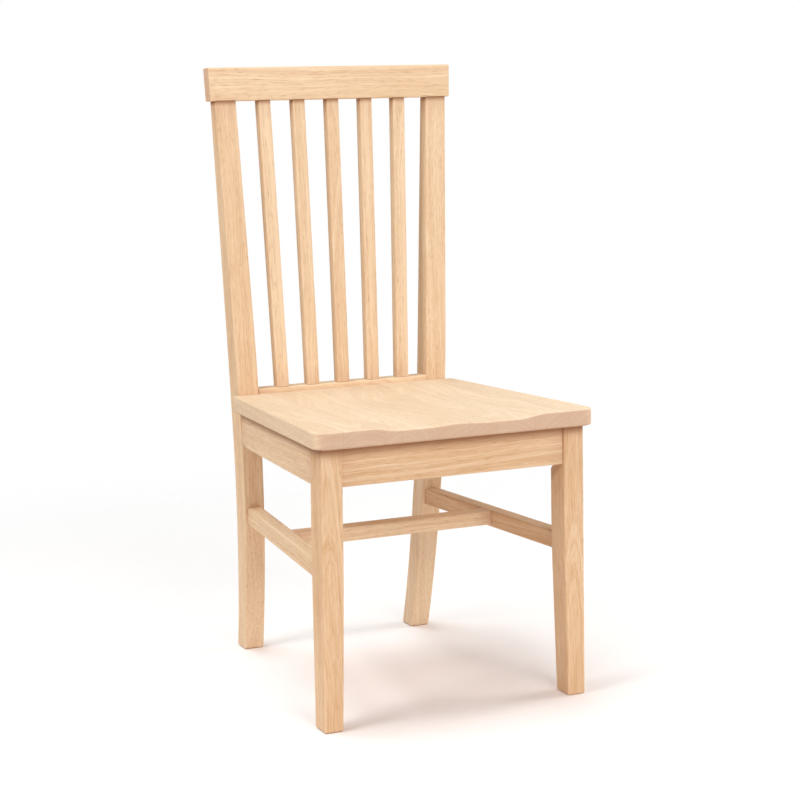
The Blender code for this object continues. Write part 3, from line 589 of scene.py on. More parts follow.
picks = stave_picks(random.Random(STAVE_SEED))
print("seat has", len(picks), "staves, the widest", round(1000 * max(
    right - left for left, right in zip(STAVE_JOINTS, STAVE_JOINTS[1:]))), "mm")

# %% Seat wood
GLUE_LINE = 0.00036
GLUE_SHARE = 0.45
SEAT_TONE_RANGE, SEAT_TONE_LOW = 0.16, -0.10
SEAT_STRENGTH = 0.65
SEAT_BLEACH = (0.955, 0.985, 1.035)
# Height and share of the painted shade along the seat's bottom edge.
SEAT_EDGE_SHADE_HEIGHT, SEAT_EDGE_SHADE_SHARE = 0.0035, 0.6


def stave_place(tree, x, y, z, pick):
    """Place in each stave's own tree, whose trunk runs from front to back."""
    depth = maths(tree, "ADD", z, -SEAT_HEIGHT)
    trunk = put(tree, "ShaderNodeCombineXYZ", X=x, Y=depth, Z=y).outputs[0]
    shift = vectors(tree, "MULTIPLY_ADD", pick, (STAVE_SPAN, HEART_RISE, TREE_SPREAD),
                    (-STAVE_SPAN / 2, HEART_BELOW, 0.0))
    return vectors(tree, "ADD", trunk, shift)


def seat_wood(name):
    material, tree = new_material(name)
    x, y, z = axes_of(tree, object_place(tree))
    first, second = (stave_ramp(tree, maths(tree, "ADD", x, half), picks)
                     for half in (-GLUE_LINE / 2, GLUE_LINE / 2))
    change = vectors(tree, "LENGTH", vectors(tree, "SUBTRACT", first, second))
    glue = product(tree, maths(tree, "GREATER_THAN", change, 0.01), GLUE_SHARE)
    draw = axes_of(tree, second)["Z"]
    tone = scaled(tree, draw, SEAT_TONE_RANGE, SEAT_TONE_LOW)
    colour, roughness, height = wood_figure(tree, stave_place(tree, x, y, z, second), tone,
                                            attribute(tree, "edge"), attribute(tree, "end"), SEAT_STRENGTH)
    colour = mix(tree, 1.0, colour, SEAT_BLEACH, "MULTIPLY")
    colour = mix(tree, glue, colour, BROWN)
    # The lower roundover of the rim is darkened towards the shade brown: painted shade along the seat's
    # bottom edge.
    level = scaled(tree, y, SEAT_SLOPE, z)
    underside = seat_underside(SEAT_FRONT) + SEAT_FRONT * SEAT_SLOPE
    painted_edge_shade = band(tree, level, underside, underside + SEAT_EDGE_SHADE_HEIGHT, SEAT_EDGE_SHADE_SHARE, 0.0)
    wood_shader(tree, mix(tree, painted_edge_shade, colour, PAINTED_SHADE_COLOUR), roughness, height, GRAIN_DEPTH)
    return material


staved_wood = seat_wood("bare hardwood, glued staves")
print("made", staved_wood.name, "with", len(staved_wood.node_tree.nodes), "nodes")

# %% [markdown]
# ## How a board is made
#
# Every straight or gently bent piece is a row of cross-sections: rectangles with rounded corners,
# skinned into one closed surface.  It could be a cube with a Bevel modifier, but a taper, a sweep and
# a slanted shoulder are easier to state as sections than to cut afterwards.  Each flat carries an
# extra line of points just inside its rounding, which keeps the flat truly flat when it is shaded
# smooth.

# %% Sections
CORNER_STEPS = 5
ROUNDOVER_STEPS = 4
SMALLEST_RADIUS = 0.0006
GUARD_SHARE = 0.6
FOOT_CORNER_SHARE = 0.8


class Section:
    """A rounded rectangle: middle, two directions, half sizes along them, corner radius."""

    def __init__(self, centre, u, v, half_u, half_v, radius=EDGE):
        self.centre, self.u, self.v = centre, u, v
        self.half_u, self.half_v, self.radius = half_u, half_v, radius

    def parts(self):
        return self.centre, self.u, self.v, self.half_u, self.half_v, self.radius

    def blended(self, other, share):
        return Section(*(a + (b - a) * share for a, b in zip(self.parts(), other.parts())))

    def eased(self, outward, radius):
        """Sections that round the board over towards this face."""
        row = []
        for step in range(ROUNDOVER_STEPS + 1):
            angle = math.radians(90.0 * step / ROUNDOVER_STEPS)
            inset = radius * (1.0 - math.cos(angle))
            centre = self.centre - outward * radius * (1.0 - math.sin(angle))
            row.append(Section(centre, self.u, self.v, self.half_u - inset, self.half_v - inset,
                               max(self.radius - inset, SMALLEST_RADIUS)))
        return row


def upright_section(side, z, outer, front, width, depth, inset):
    """Level section of a leg or post; the inset makes the small chamfer at its foot."""
    centre = Vector((side * (outer - width / 2), front + depth / 2, z))
    return Section(centre, X, Y, width / 2 - inset, depth / 2 - inset, EDGE - inset * FOOT_CORNER_SHARE)


sample = Section(Vector(), X, Y, LEG_WIDTH / 2, LEG_DEPTH / 2)
print(f"a leg starts {LEG_WIDTH * 1000:.0f} mm wide and {LEG_DEPTH * 1000:.0f} mm deep")

# %% Points round a section
def outline(section):
    """Points round a section, each with its share of being on a worn edge."""
    points = []
    radius = section.radius
    guard = radius * GUARD_SHARE
    quarters = ((1, 1, 0), (-1, 1, 90), (-1, -1, 180), (1, -1, 270))
    for side_u, side_v, start in quarters:
        middle_u = side_u * (section.half_u - radius)
        middle_v = side_v * (section.half_v - radius)
        for step in range(-1, CORNER_STEPS + 2):
            angle = math.radians(start + 90.0 * min(max(step, 0), CORNER_STEPS) / CORNER_STEPS)
            along_u = middle_u + radius * math.cos(angle)
            along_v = middle_v + radius * math.sin(angle)
            if step in (-1, CORNER_STEPS + 1):
                horizontal = (start % 180 == 0) == (step == -1)
                along_v -= side_v * guard if horizontal else 0.0
                along_u -= 0.0 if horizontal else side_u * guard
            worn = 1.0 - abs(step - CORNER_STEPS / 2) / (CORNER_STEPS / 2 + 1)
            points.append((section.centre + section.u * along_u + section.v * along_v, worn))
    return points


print("a section has", len(outline(sample)), "points")

# %% A skin over sections
LOFT_STEP = 0.035


def densified(sections):
    """The same row of sections with more of them where they are far apart."""
    row = [sections[0]]
    for section in sections[1:]:
        last = row[-1]
        pieces = max(1, round((section.centre - last.centre).length / LOFT_STEP))
        row += [last.blended(section, step / pieces) for step in range(1, pieces)]
        row.append(section)
    return row


def loft_mesh(bm, rings, edge_layer):
    """Closed skin over rings of (point, worn) pairs, added to bm."""
    rows = []
    for ring in rings:
        row = []
        for point, worn in ring:
            vert = bm.verts.new(point)
            vert[edge_layer] = worn
            row.append(vert)
        rows.append(row)
    count = len(rows[0])
    for low, high in zip(rows, rows[1:]):
        for i in range(count):
            j = (i + 1) % count
            bm.faces.new((low[i], low[j], high[j], high[i]))
    bm.faces.new(rows[0][::-1])
    bm.faces.new(rows[-1])
    return rows


def to_object(name, bm):
    bmesh.ops.recalc_face_normals(bm, faces=bm.faces)
    data = bpy.data.meshes.new(name)
    bm.to_mesh(data)
    bm.free()
    obj = bpy.data.objects.new(name, data)
    scene.collection.objects.link(obj)
    return obj


def board(name, sections):
    bm = bmesh.new()
    edge_layer = bm.verts.layers.float.new("edge")
    loft_mesh(bm, [outline(section) for section in densified(sections)], edge_layer)
    return to_object(name, bm)


print("boards get a ring of points every", LOFT_STEP * 1000, "mm or less")

# %% [markdown]
# ### What a board knows about itself
#
# A finished board learns a few things per point: its place in the tree, its tone, and whether it
# shows end grain there.  They are stored as attributes, which stay with the mesh through every
# modifier.  The place in the tree could be worked out in the material, but then each board would need
# a material of its own.

# %% Where a board lay in its tree
END_GRAIN_FROM, END_GRAIN_EASE = 0.5, 0.4


class Tree:
    """Where a board was cut: the trunk's direction, the way to its heart, and how far away that is."""

    def __init__(self, trunk, heart, distance, middle=(0.0, 0.0, 0.0), slide=0.0):
        self.trunk, heart = Vector(trunk).normalized(), Vector(heart)
        self.heart = (heart - self.trunk * heart.dot(self.trunk)).normalized()
        self.side = self.trunk.cross(self.heart)
        self.distance, self.slide = distance, slide
        self.middle = Vector(middle)

    def place(self, point):
        local = point - self.middle
        outwards = self.distance - local.dot(self.heart)
        return outwards, local.dot(self.side), local.dot(self.trunk) + self.slide

    def end_grain(self, normal):
        return smooth((abs(normal.dot(self.trunk)) - END_GRAIN_FROM) / END_GRAIN_EASE)


sample = Tree(trunk=Z, heart=X, distance=0.050)
print("a point 10 mm towards the heart lies", round(sample.place(X * 0.010)[0] * 1000), "mm from it")

# %% Attributes and material
TOP_FACE_FROM, TOP_FACE_EASE = 0.5, 0.4
SHARP_FROM = math.radians(35.0)
# How strongly a sheltered piece takes the painted shade.
SHADE_STRENGTH = 0.9


def shade(obj):
    obj.data.shade_smooth()
    obj.data.set_sharp_from_angle(angle=SHARP_FROM)


def seasoned(obj, tree, tone, material, under_seat=0.0, under_crest=0.0, top_tone=0.0):
    """Writes the wood attributes of a finished mesh and gives it its material."""
    data = obj.data
    normals = [vert.normal.copy() for vert in data.vertices]
    places = [part for vert in data.vertices for part in tree.place(vert.co)]
    count = len(normals)
    upward = [smooth((normal.z - TOP_FACE_FROM) / TOP_FACE_EASE) for normal in normals]
    values = {
        # Upward faces have their tone shifted by the top share: painted light that makes the tops paler.
        "tone": [tone + top_tone * share for share in upward],
        "end": [tree.end_grain(normal) for normal in normals],
        # How strongly this piece takes the painted shade under the seat and under the crest.
        "under_seat": [under_seat] * count,
        "under_crest": [under_crest] * count,
    }
    data.attributes.new("place_in_tree", "FLOAT_VECTOR", "POINT").data.foreach_set("vector", places)
    for name, numbers in values.items():
        data.attributes.new(name, "FLOAT", "POINT").data.foreach_set("value", numbers)
    data.materials.clear()
    data.materials.append(material)
    shade(obj)
    return obj


def settle(obj, *nodes, slot="frame_wood"):
    """Puts a finished piece on the chair's one body, in place of its plain solids."""
    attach(obj, "root")
    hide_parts(*nodes)
    print(f"{obj.name}: {len(obj.data.polygons)} faces for {', '.join(nodes)}")


def fit_board(name, node, sections, tree, tone, **extras):
    """A whole board in one go: skinned, seasoned and settled."""
    settle(seasoned(board(name, sections), tree, tone, bare_wood, **extras), node)


print("edges sharper than", round(math.degrees(SHARP_FROM)), "degrees stay crisp")

# %% [markdown]
# ## Front legs
#
# Each leg is a straight post, square and full under the seat and tapered on its two inner faces below
# the apron, so the outer faces stay flush and almost plumb.  Its foot is chamfered, which keeps it
# from splitting when the chair is dragged.  The inner corner behind the aprons is planed off for the
# corner block, and the cut runs out below them in a long curve.  A Boolean with one curved cutter
# makes it; its result is kept as a plain mesh, so that nothing is left to be worked out later.

# %% Keeping what a modifier makes
def flatten(obj):
    """Turns whatever the modifiers make into the object's own mesh."""
    graph = bpy.context.evaluated_depsgraph_get()
    made = obj.evaluated_get(graph)
    data = bpy.data.meshes.new_from_object(made, preserve_all_data_layers=True, depsgraph=graph)
    obj.modifiers.clear()
    obj.data = data


def subtract(obj, cutter):
    """Cuts one object out of another and leaves a plain mesh and no cutter."""
    before = len(obj.data.polygons)
    modifier = obj.modifiers.new("cut", "BOOLEAN")
    modifier.operation = "DIFFERENCE"
    modifier.solver = "EXACT"
    modifier.object = cutter
    flatten(obj)
    bpy.data.objects.remove(cutter, do_unlink=True)
    print(f"{obj.name}: {before} faces before the cut, {len(obj.data.polygons)} after it")


# %% Corner of a front leg
LEG_CORNER_CUT = 0.013
LEG_CORNER_CUT_RUNOUT = 0.027
LEG_CORNER_CUT_CURVE = 0.021
LEG_CORNER_CUT_LEAD_IN = 0.001
LEG_CORNER_CUT_STEPS = 8
CUTTER_REACH = 2.0
CUTTER_BULK = 4.0


def cutter_profile(depth):
    """Height and depth of the cut: a curve that sinks into the leg, then the flat, then the waste."""
    bottom = seat_underside(LEG_REAR) - APRON_HEIGHT - LEG_CORNER_CUT_RUNOUT
    profile = []
    for step in range(LEG_CORNER_CUT_STEPS + 1):
        angle = math.radians(90.0 * step / LEG_CORNER_CUT_STEPS)
        out = -(depth + LEG_CORNER_CUT_LEAD_IN) * math.cos(angle)
        profile.append((out, bottom + LEG_CORNER_CUT_CURVE * math.sin(angle)))
    waste = -CUTTER_BULK * depth
    return profile + [(0.0, SEAT_HEIGHT), (waste, SEAT_HEIGHT), (waste, bottom)]


def plane_off_corner(leg, side):
    level = seat_underside(LEG_REAR) - APRON_HEIGHT / 2
    half_cut = LEG_CORNER_CUT / 2
    inner = leg_outer(level) - leg_width(level)
    flat = Vector((side * (inner + half_cut), LEG_REAR - half_cut, 0.0))
    into, along = Vector((side, -1.0, 0.0)).normalized(), Vector((side, 1.0, 0.0)).normalized()
    profile = cutter_profile(LEG_CORNER_CUT / math.sqrt(2.0))
    bm = bmesh.new()
    layer = bm.verts.layers.float.new("edge")
    rings = [[(flat + along * (end * LEG_CORNER_CUT) + into * out + Z * z, 0.0) for out, z in profile]
             for end in (-CUTTER_REACH, CUTTER_REACH)]
    loft_mesh(bm, rings, layer)
    subtract(leg, to_object("corner_cutter", bm))


print("the planed corner is", LEG_CORNER_CUT * 1000, "mm wide on each face")

# %% Front legs
# The legs are set darker than the back: partly the wood's own tone, partly painted shade for the
# underframe below the seat.
LEG_TONE_AND_SHADE, LEG_TONE_CHANGE = 0.38, -0.04
TAPER_SHARES = (0.2, 0.4, 0.6, 0.8, 0.9, 1.0)


def leg_section(side, z, inset=0.0):
    return upright_section(side, z, leg_outer(z), LEG_FRONT, leg_width(z), leg_depth(z), inset)


def front_leg(side, word):
    sections = [leg_section(side, 0.0, FOOT_EDGE), leg_section(side, FOOT_EDGE)]
    sections += [leg_section(side, LEG_TAPER_START * share) for share in TAPER_SHARES]
    top = leg_section(side, seat_underside(LEG_FRONT + LEG_DEPTH / 2) - GAP)
    top.v = Vector((0.0, 1.0, -SEAT_SLOPE))
    leg = board(f"turned_out_front_leg_{word}", sections + [top])
    plane_off_corner(leg, side)
    tree = Tree(trunk=(0.004 * side, 0.030, 1.0), heart=(side * 0.25, 1.0, 0.0),
                distance=0.026, middle=(side * 0.2, LEG_FRONT, 0.25), slide=1.3 + side * 0.6)
    seasoned(leg, tree, LEG_TONE_AND_SHADE + LEG_TONE_CHANGE * side, bare_wood, under_seat=SHADE_STRENGTH)
    settle(leg, f"front_leg_{word}")


for side, word in SIDES:
    front_leg(side, word)

# %% [markdown]
# ## Back posts
#
# A back post and its rear leg are one piece, bandsawn from a wide plank.  The grain goes straight up
# the plank while the post bends away from it, so it is the saw and not the tree that makes the curve:
# on the raked and swept faces the rings come out as long tongues.  The section shrinks towards the
# crest, and the post leans outwards over its whole height.

# %% Back posts
SWEEP_STEPS, BEND_STEPS = 18, 6
POST_TONE, POST_TONE_CHANGE = 0.07, -0.06


def post_section(side, z, inset=0.0):
    return upright_section(side, z, post_outer(z), post_front(z), post_width(z), post_depth(z), inset)


def post_head(side):
    centre = CREST_FRONT + RAKE_BACK * (POST_DEPTH_TOP / 2) - RAKE_UP * GAP
    width = post_width(centre.z)
    centre.x = side * (post_outer(centre.z) - width / 2)
    return Section(centre, X, RAKE_BACK, width / 2, POST_DEPTH_TOP / 2)


def back_post(side, word):
    heights = [SWEEP_START * step / SWEEP_STEPS for step in range(1, SWEEP_STEPS + 1)]
    heights += [RAIL_TOP + POST_BEND * step / BEND_STEPS for step in range(BEND_STEPS + 1)]
    sections = [post_section(side, 0.0, FOOT_EDGE), post_section(side, FOOT_EDGE)]
    sections += [post_section(side, height) for height in heights]
    sections.append(post_head(side))
    tree = Tree(trunk=(side * 0.032, 0.0, 1.0), heart=(0.10 * side, 1.0, 0.0),
                distance=0.022, middle=(side * 0.20, BACK_PLANE, 0.5), slide=4.0 + side)
    fit_board(f"sawn_back_post_{word}", f"back_post_{word}", sections, tree,
              POST_TONE + POST_TONE_CHANGE * side, under_crest=SHADE_STRENGTH)


for side, word in SIDES:
    back_post(side, word)

# %% [markdown]
# ## Crest rail and rear seat rail
#
# The crest is one straight board that caps the posts and slats, with its ends cut to the same lean as
# the posts and its edges eased all round where a hand will hold it.  The rear seat rail stands between
# the posts just behind the seat and carries the feet of the slats.

# %% Crest rail
CREST_THICKNESS, CREST_OVERHANG = 0.0252, 0.0078
CREST_TONE = -0.02


def crest_rail():
    middle = CREST_FRONT + RAKE_BACK * (CREST_THICKNESS / 2) + RAKE_UP * (CREST_HEIGHT / 2)
    ends = []
    for side in (-1, 1):
        centre = middle.copy()
        centre.x = side * (post_outer(middle.z) + CREST_OVERHANG)
        height = Vector((side * POST_FLARE, RAKE_UP.y, RAKE_UP.z))
        face = Section(centre, RAKE_BACK, height, CREST_THICKNESS / 2, CREST_HEIGHT / 2)
        end = face.eased(X * side, EDGE)
        ends.append(end if side > 0 else end[::-1])
    tree = Tree(trunk=(1.0, 0.004, 0.010), heart=(0.0, 0.30, -1.0), distance=0.085,
                middle=middle, slide=7.7)
    fit_board("crest_rail_eased", "crest_rail", ends[0] + ends[1], tree, CREST_TONE)


crest_rail()

# %% Rear seat rail
RAIL_THICKNESS = 0.026
RAIL_TONE = -0.22


def rear_rail():
    level = (RAIL_TOP + RAIL_BOTTOM) / 2
    faces = []
    for side in (-1, 1):
        centre = Vector((side * (post_inner(level) - GAP), BACK_PLANE + RAIL_THICKNESS / 2, level))
        lean = Vector((side * POST_FLARE, 0.0, 1.0))
        faces.append(Section(centre, Y, lean, RAIL_THICKNESS / 2, (RAIL_TOP - RAIL_BOTTOM) / 2))
    tree = Tree(trunk=(1.0, 0.0, -0.006), heart=(0.0, 1.0, 0.5), distance=0.070,
                middle=faces[0].centre, slide=9.1)
    fit_board("rear_rail_under_slats", "rear_seat_rail", faces, tree, RAIL_TONE)


rear_rail()

# %% [markdown]
# ## The fan of slats
#
# Five equal slats stand on the rail.  They are closer together at the foot than at the head, so they
# spread like the fingers of a hand and follow the lean of the posts.  That is one rule for all five,
# which is what Geometry Nodes are for: one slat is made as a blank, and a small tree copies it
# and slides every point sideways in proportion to the slat's number and the point's height.  It also
# moves each copy to another place in the tree, so that no two slats show the same grain.

# %% Building and running a rule
def socket(tree, name, kind, direction="INPUT"):
    return tree.interface.new_socket(name=name, in_out=direction, socket_type=kind)


def rule_tree(name, inputs):
    """An empty Geometry Nodes tree with named inputs, its input node and its output node."""
    tree = bpy.data.node_groups.new(name, "GeometryNodeTree")
    socket(tree, "Geometry", "NodeSocketGeometry")
    for label, kind in inputs:
        socket(tree, label, kind)
    socket(tree, "Geometry", "NodeSocketGeometry", "OUTPUT")
    return tree, tree.nodes.new("NodeGroupInput").outputs, tree.nodes.new("NodeGroupOutput")


def run_tree(obj, tree, values):
    """Adds the tree to an object, sets its inputs by name and keeps only the plain mesh."""
    modifier = obj.modifiers.new(tree.name, "NODES")
    modifier.node_group = tree
    for item in tree.interface.items_tree:
        if item.item_type == "SOCKET" and item.in_out == "INPUT" and item.name in values:
            modifier[item.identifier] = values[item.name]
    obj.update_tag()
    flatten(obj)
    print(f"{tree.name}: {len(tree.nodes)} nodes made {len(obj.data.polygons)} faces")


# %% Node tree for the slats
GRAIN_LOW, GRAIN_HIGH = (-0.05, -0.05, -1.0), (0.05, 0.05, 1.0)
FAN_INPUTS = (
    ("Count", "NodeSocketInt"), ("Spacing at foot", "NodeSocketFloat"),
    ("Spacing at head", "NodeSocketFloat"), ("Foot height", "NodeSocketFloat"),
    ("Head height", "NodeSocketFloat"), ("Tone in the middle", "NodeSocketFloat"),
    ("Tone change outwards", "NodeSocketFloat"), ("Seed", "NodeSocketInt"),
    ("Wood", "NodeSocketMaterial"),
)


def numbered_copies(tree, given):
    """Copies of the blank in one place, each with its number counted from the middle slat."""
    index = put(tree, "GeometryNodeInputIndex").outputs[0]
    half = scaled(tree, given["Count"], 0.5, -0.5)
    places = put(tree, "GeometryNodeMeshLine", Count=given["Count"], Offset=(0.0, 0.0, 0.0)).outputs[0]
    keep = put(tree, "GeometryNodeCaptureAttribute", {"domain": "POINT"})
    keep.capture_items.new("FLOAT", "Number")
    feed(tree, (keep.inputs["Geometry"], keep.inputs["Number"]),
         (places, less(tree, index, half)))
    copies = put(tree, "GeometryNodeInstanceOnPoints", Points=keep.outputs["Geometry"],
                 Instance=given["Geometry"]).outputs[0]
    solid = put(tree, "GeometryNodeRealizeInstances", Geometry=copies).outputs[0]
    return solid, keep.outputs["Number"]


def spread_out(tree, given, solid, number):
    height = axes_of(tree, put(tree, "GeometryNodeInputPosition").outputs[0])["Z"]
    rise = put(tree, "ShaderNodeMapRange", {"clamp": False}, Value=height, From_Min=given["Foot height"],
               From_Max=given["Head height"], To_Min=given["Spacing at foot"],
               To_Max=given["Spacing at head"]).outputs[0]
    offset = put(tree, "ShaderNodeCombineXYZ", X=product(tree, rise, number)).outputs[0]
    return put(tree, "GeometryNodeSetPosition", Geometry=solid, Offset=offset).outputs[0]


def stored(tree, geometry, name, kind, value):
    settings = {"data_type": kind, "domain": "POINT"}
    return put(tree, "GeometryNodeStoreNamedAttribute", settings, Geometry=geometry, Name=name,
               Value=value).outputs[0]


def fan_tree():
    tree, given, out = rule_tree("fan of slats", FAN_INPUTS)
    solid, number = numbered_copies(tree, given)
    spread = spread_out(tree, given, solid, number)
    pick = put(tree, "FunctionNodeRandomValue", {"data_type": "FLOAT_VECTOR"}, Min=GRAIN_LOW,
               Max=GRAIN_HIGH, ID=scaled(tree, number, 2.0, 20.0),
               Seed=given["Seed"]).outputs[0]
    old = put(tree, "GeometryNodeInputNamedAttribute", {"data_type": "FLOAT_VECTOR"}, Name="place_in_tree")
    moved = vectors(tree, "ADD", old.outputs[0], pick)
    grain = stored(tree, spread, "place_in_tree", "FLOAT_VECTOR", moved)
    square = product(tree, number, number)
    tone = scaled(tree, square, given["Tone change outwards"], given["Tone in the middle"])
    toned = stored(tree, grain, "tone", "FLOAT", tone)
    dressed = put(tree, "GeometryNodeSetMaterial", Geometry=toned, Material=given["Wood"]).outputs[0]
    feed(tree, out.inputs, (dressed,))
    return tree


fan = fan_tree()
print("tree", fan.name, "has", len(fan.nodes), "nodes")

# %% Slats
SLAT_THICKNESS, SLAT_INSET = 0.020, 0.0008
SLAT_TONE, SLAT_TONE_CHANGE = 0.00, -0.045
SLAT_SEED = 4


def slat_blank():
    deep = SLAT_INSET + SLAT_THICKNESS / 2
    foot = Vector((0.0, BACK_PLANE + deep, RAIL_TOP + GAP))
    head = CREST_FRONT + RAKE_BACK * deep - RAKE_UP * GAP
    half_width, half_thickness = SLAT_WIDTH / 2, SLAT_THICKNESS / 2
    blank = board("fanned_back_slats", [Section(foot, X, Y, half_width, half_thickness),
                                        Section(head, X, RAKE_BACK, half_width, half_thickness)])
    tree = Tree(trunk=head - foot, heart=(1.0, 0.5, 0.0), distance=0.080, middle=(foot + head) / 2)
    seasoned(blank, tree, SLAT_TONE, bare_wood, under_crest=SHADE_STRENGTH)
    return blank, foot.z, head.z


def back_slats():
    slats, foot_z, head_z = slat_blank()
    run_tree(slats, fan, {
        "Count": SLAT_COUNT,
        "Spacing at foot": slat_pitch(foot_z),
        "Spacing at head": slat_pitch(head_z),
        "Foot height": foot_z,
        "Head height": head_z,
        "Tone in the middle": SLAT_TONE,
        "Tone change outwards": SLAT_TONE_CHANGE,
        "Seed": SLAT_SEED,
        "Wood": bare_wood,
    })
    shade(slats)
    settle(slats, *(f"back_slat_{number + 1}" for number in range(SLAT_COUNT)))


back_slats()

# %% [markdown]
# ## Aprons and stretchers
#
# The aprons are plain boards set a little behind the faces of the legs, which throws a fine shadow line
# at each joint.  The two side stretchers run from the front legs to the back posts, and the cross
# stretcher stands between them half way, a hair below their top edge: an H that stops the legs from
# spreading.  The upper faces of the stretchers are painted paler than their sides, and the sides of the
# side stretchers darker, the right one most: painted light on the tops and painted shade on the sides.

# %% Aprons
APRON_INSET_FRONT = 0.0048
# The front apron is set darker than the side aprons: partly the wood's own tone, partly painted shade
# below the seat.
FRONT_APRON_TONE_AND_SHADE, SIDE_APRON_TONE = 0.30, 0.02


def front_apron():
    back = LEG_FRONT + APRON_INSET_FRONT + APRON_THICKNESS
    level = seat_underside(back) - GAP - APRON_HEIGHT / 2
    faces = []
    for side in (-1, 1):
        lean = Vector((-side * LEG_SPLAY / (SEAT_HEIGHT - SEAT_THICKNESS), 0.0, 1.0))
        centre = Vector((side * (leg_outer(level) - LEG_WIDTH - GAP), back - APRON_THICKNESS / 2, level))
        faces.append(Section(centre, Y, lean, APRON_THICKNESS / 2, APRON_HEIGHT / 2))
    tree = Tree(trunk=(1.0, 0.0, 0.012), heart=(0.0, 0.35, 1.0), distance=0.095,
                middle=faces[0].centre, slide=2.2)
    fit_board("front_apron_board", "front_apron", faces, tree, FRONT_APRON_TONE_AND_SHADE, under_seat=SHADE_STRENGTH)


def side_apron(side, word):
    faces = []
    for y in (LEG_REAR + GAP, BACK_PLANE - GAP):
        centre = Vector((side * (apron_outer(y) - APRON_THICKNESS / 2), y,
                         seat_underside(y) - GAP - APRON_HEIGHT / 2))
        faces.append(Section(centre, X, Z, APRON_THICKNESS / 2, APRON_HEIGHT / 2))
    tree = Tree(trunk=faces[1].centre - faces[0].centre, heart=(side, 0.0, 0.8), distance=0.080,
                middle=faces[0].centre, slide=5.0 + side)
    fit_board(f"side_apron_board_{word}", f"side_apron_{word}", faces, tree, SIDE_APRON_TONE,
              under_seat=SHADE_STRENGTH)


front_apron()
for side, word in SIDES:
    side_apron(side, word)

# %% Side stretchers
STRETCHER_HEIGHT, STRETCHER_WIDTH = 0.028, 0.0245
# The side tone of the stretchers is partly painted shade, darker on the right one; their tops are set
# paler as painted light.
STRETCHER_SIDE_TONE_AND_SHADE, STRETCHER_SIDE_SHADE_CHANGE = 0.29, 0.15
STRETCHER_PAINTED_TOP_LIGHT = -0.27


def side_stretcher(side, word):
    half_height = STRETCHER_HEIGHT / 2
    low, high = STRETCHER_Z - half_height, STRETCHER_Z + half_height
    front_y = LEG_FRONT + max(leg_depth(low), leg_depth(high)) + GAP
    rear_lean = (post_front(high) - post_front(low)) / STRETCHER_HEIGHT
    rear_y = (post_front(low) + post_front(high)) / 2 - GAP
    ends = []
    for y, lean in ((front_y, 0.0), (rear_y, rear_lean)):
        centre = Vector((side * stretcher_centre(y), y, STRETCHER_Z))
        ends.append(Section(centre, X, Vector((0.0, lean, 1.0)), STRETCHER_WIDTH / 2, half_height))
    along = (ends[1].centre - ends[0].centre).normalized()
    tree = Tree(trunk=along + Z * 0.01, heart=(side, 0.0, 1.0), distance=0.060,
                middle=ends[0].centre, slide=3.0 + 2 * side)
    # Darker sides, the right one most, and tops set back to a pale tone: painted shade on the sides,
    # painted light on the tops.
    tone = STRETCHER_SIDE_TONE_AND_SHADE + STRETCHER_SIDE_SHADE_CHANGE * side
    fit_board(f"side_stretcher_bar_{word}", f"side_stretcher_{word}", ends, tree, tone,
              top_tone=STRETCHER_PAINTED_TOP_LIGHT - tone)
    return along


directions = {word: side_stretcher(side, word) for side, word in SIDES}

# %% Cross stretcher
CROSS_PLACE, CROSS_HEIGHT, CROSS_WIDTH, CROSS_DROP = 0.260, 0.023, 0.031, 0.001
# The top face of the cross stretcher is set paler than its sides: painted light.
CROSS_TONE, CROSS_PAINTED_TOP_LIGHT = -0.04, -0.23


def cross_stretcher():
    level = STRETCHER_Z + STRETCHER_HEIGHT / 2 - CROSS_DROP - CROSS_HEIGHT / 2
    cross_y = SEAT_FRONT + CROSS_PLACE
    reach = stretcher_centre(cross_y) - STRETCHER_WIDTH / 2 - GAP
    faces = []
    for side, word in SIDES:
        along = directions[word]
        centre = Vector((side * reach, cross_y, level))
        faces.append(Section(centre, along / along.y, Z, CROSS_WIDTH / 2, CROSS_HEIGHT / 2))
    tree = Tree(trunk=(1.0, 0.008, 0.0), heart=(0.0, -0.5, 1.0), distance=0.070,
                middle=faces[0].centre, slide=6.4)
    fit_board("cross_stretcher_bar", "cross_stretcher", faces, tree, CROSS_TONE, top_tone=CROSS_PAINTED_TOP_LIGHT)


cross_stretcher()

# %% [markdown]
# ## The seat
#
# The seat starts as a flat panel: a trapezoid, wider in front, with round front corners and a small
# roundover along every edge.  Then it is dished.  The hollow follows a rule of the place on the seat,
# deep in the middle and running out towards a flat rim, with a low ridge between the thighs at the
# front.  A Geometry Nodes tree lowers the top by that rule, so each number of the rule is an input that
# can be tried out at once, and the roundover rides along with the top.

# %% Plan of the seat
SEAT_ROUNDOVER = 0.003
FRONT_CORNER, REAR_CORNER = 0.024, 0.005
FRONT_CORNER_STEPS, REAR_CORNER_STEPS = 10, 5
SEAT_OUTLINE_STEPS = (64, 40, 40, 40)


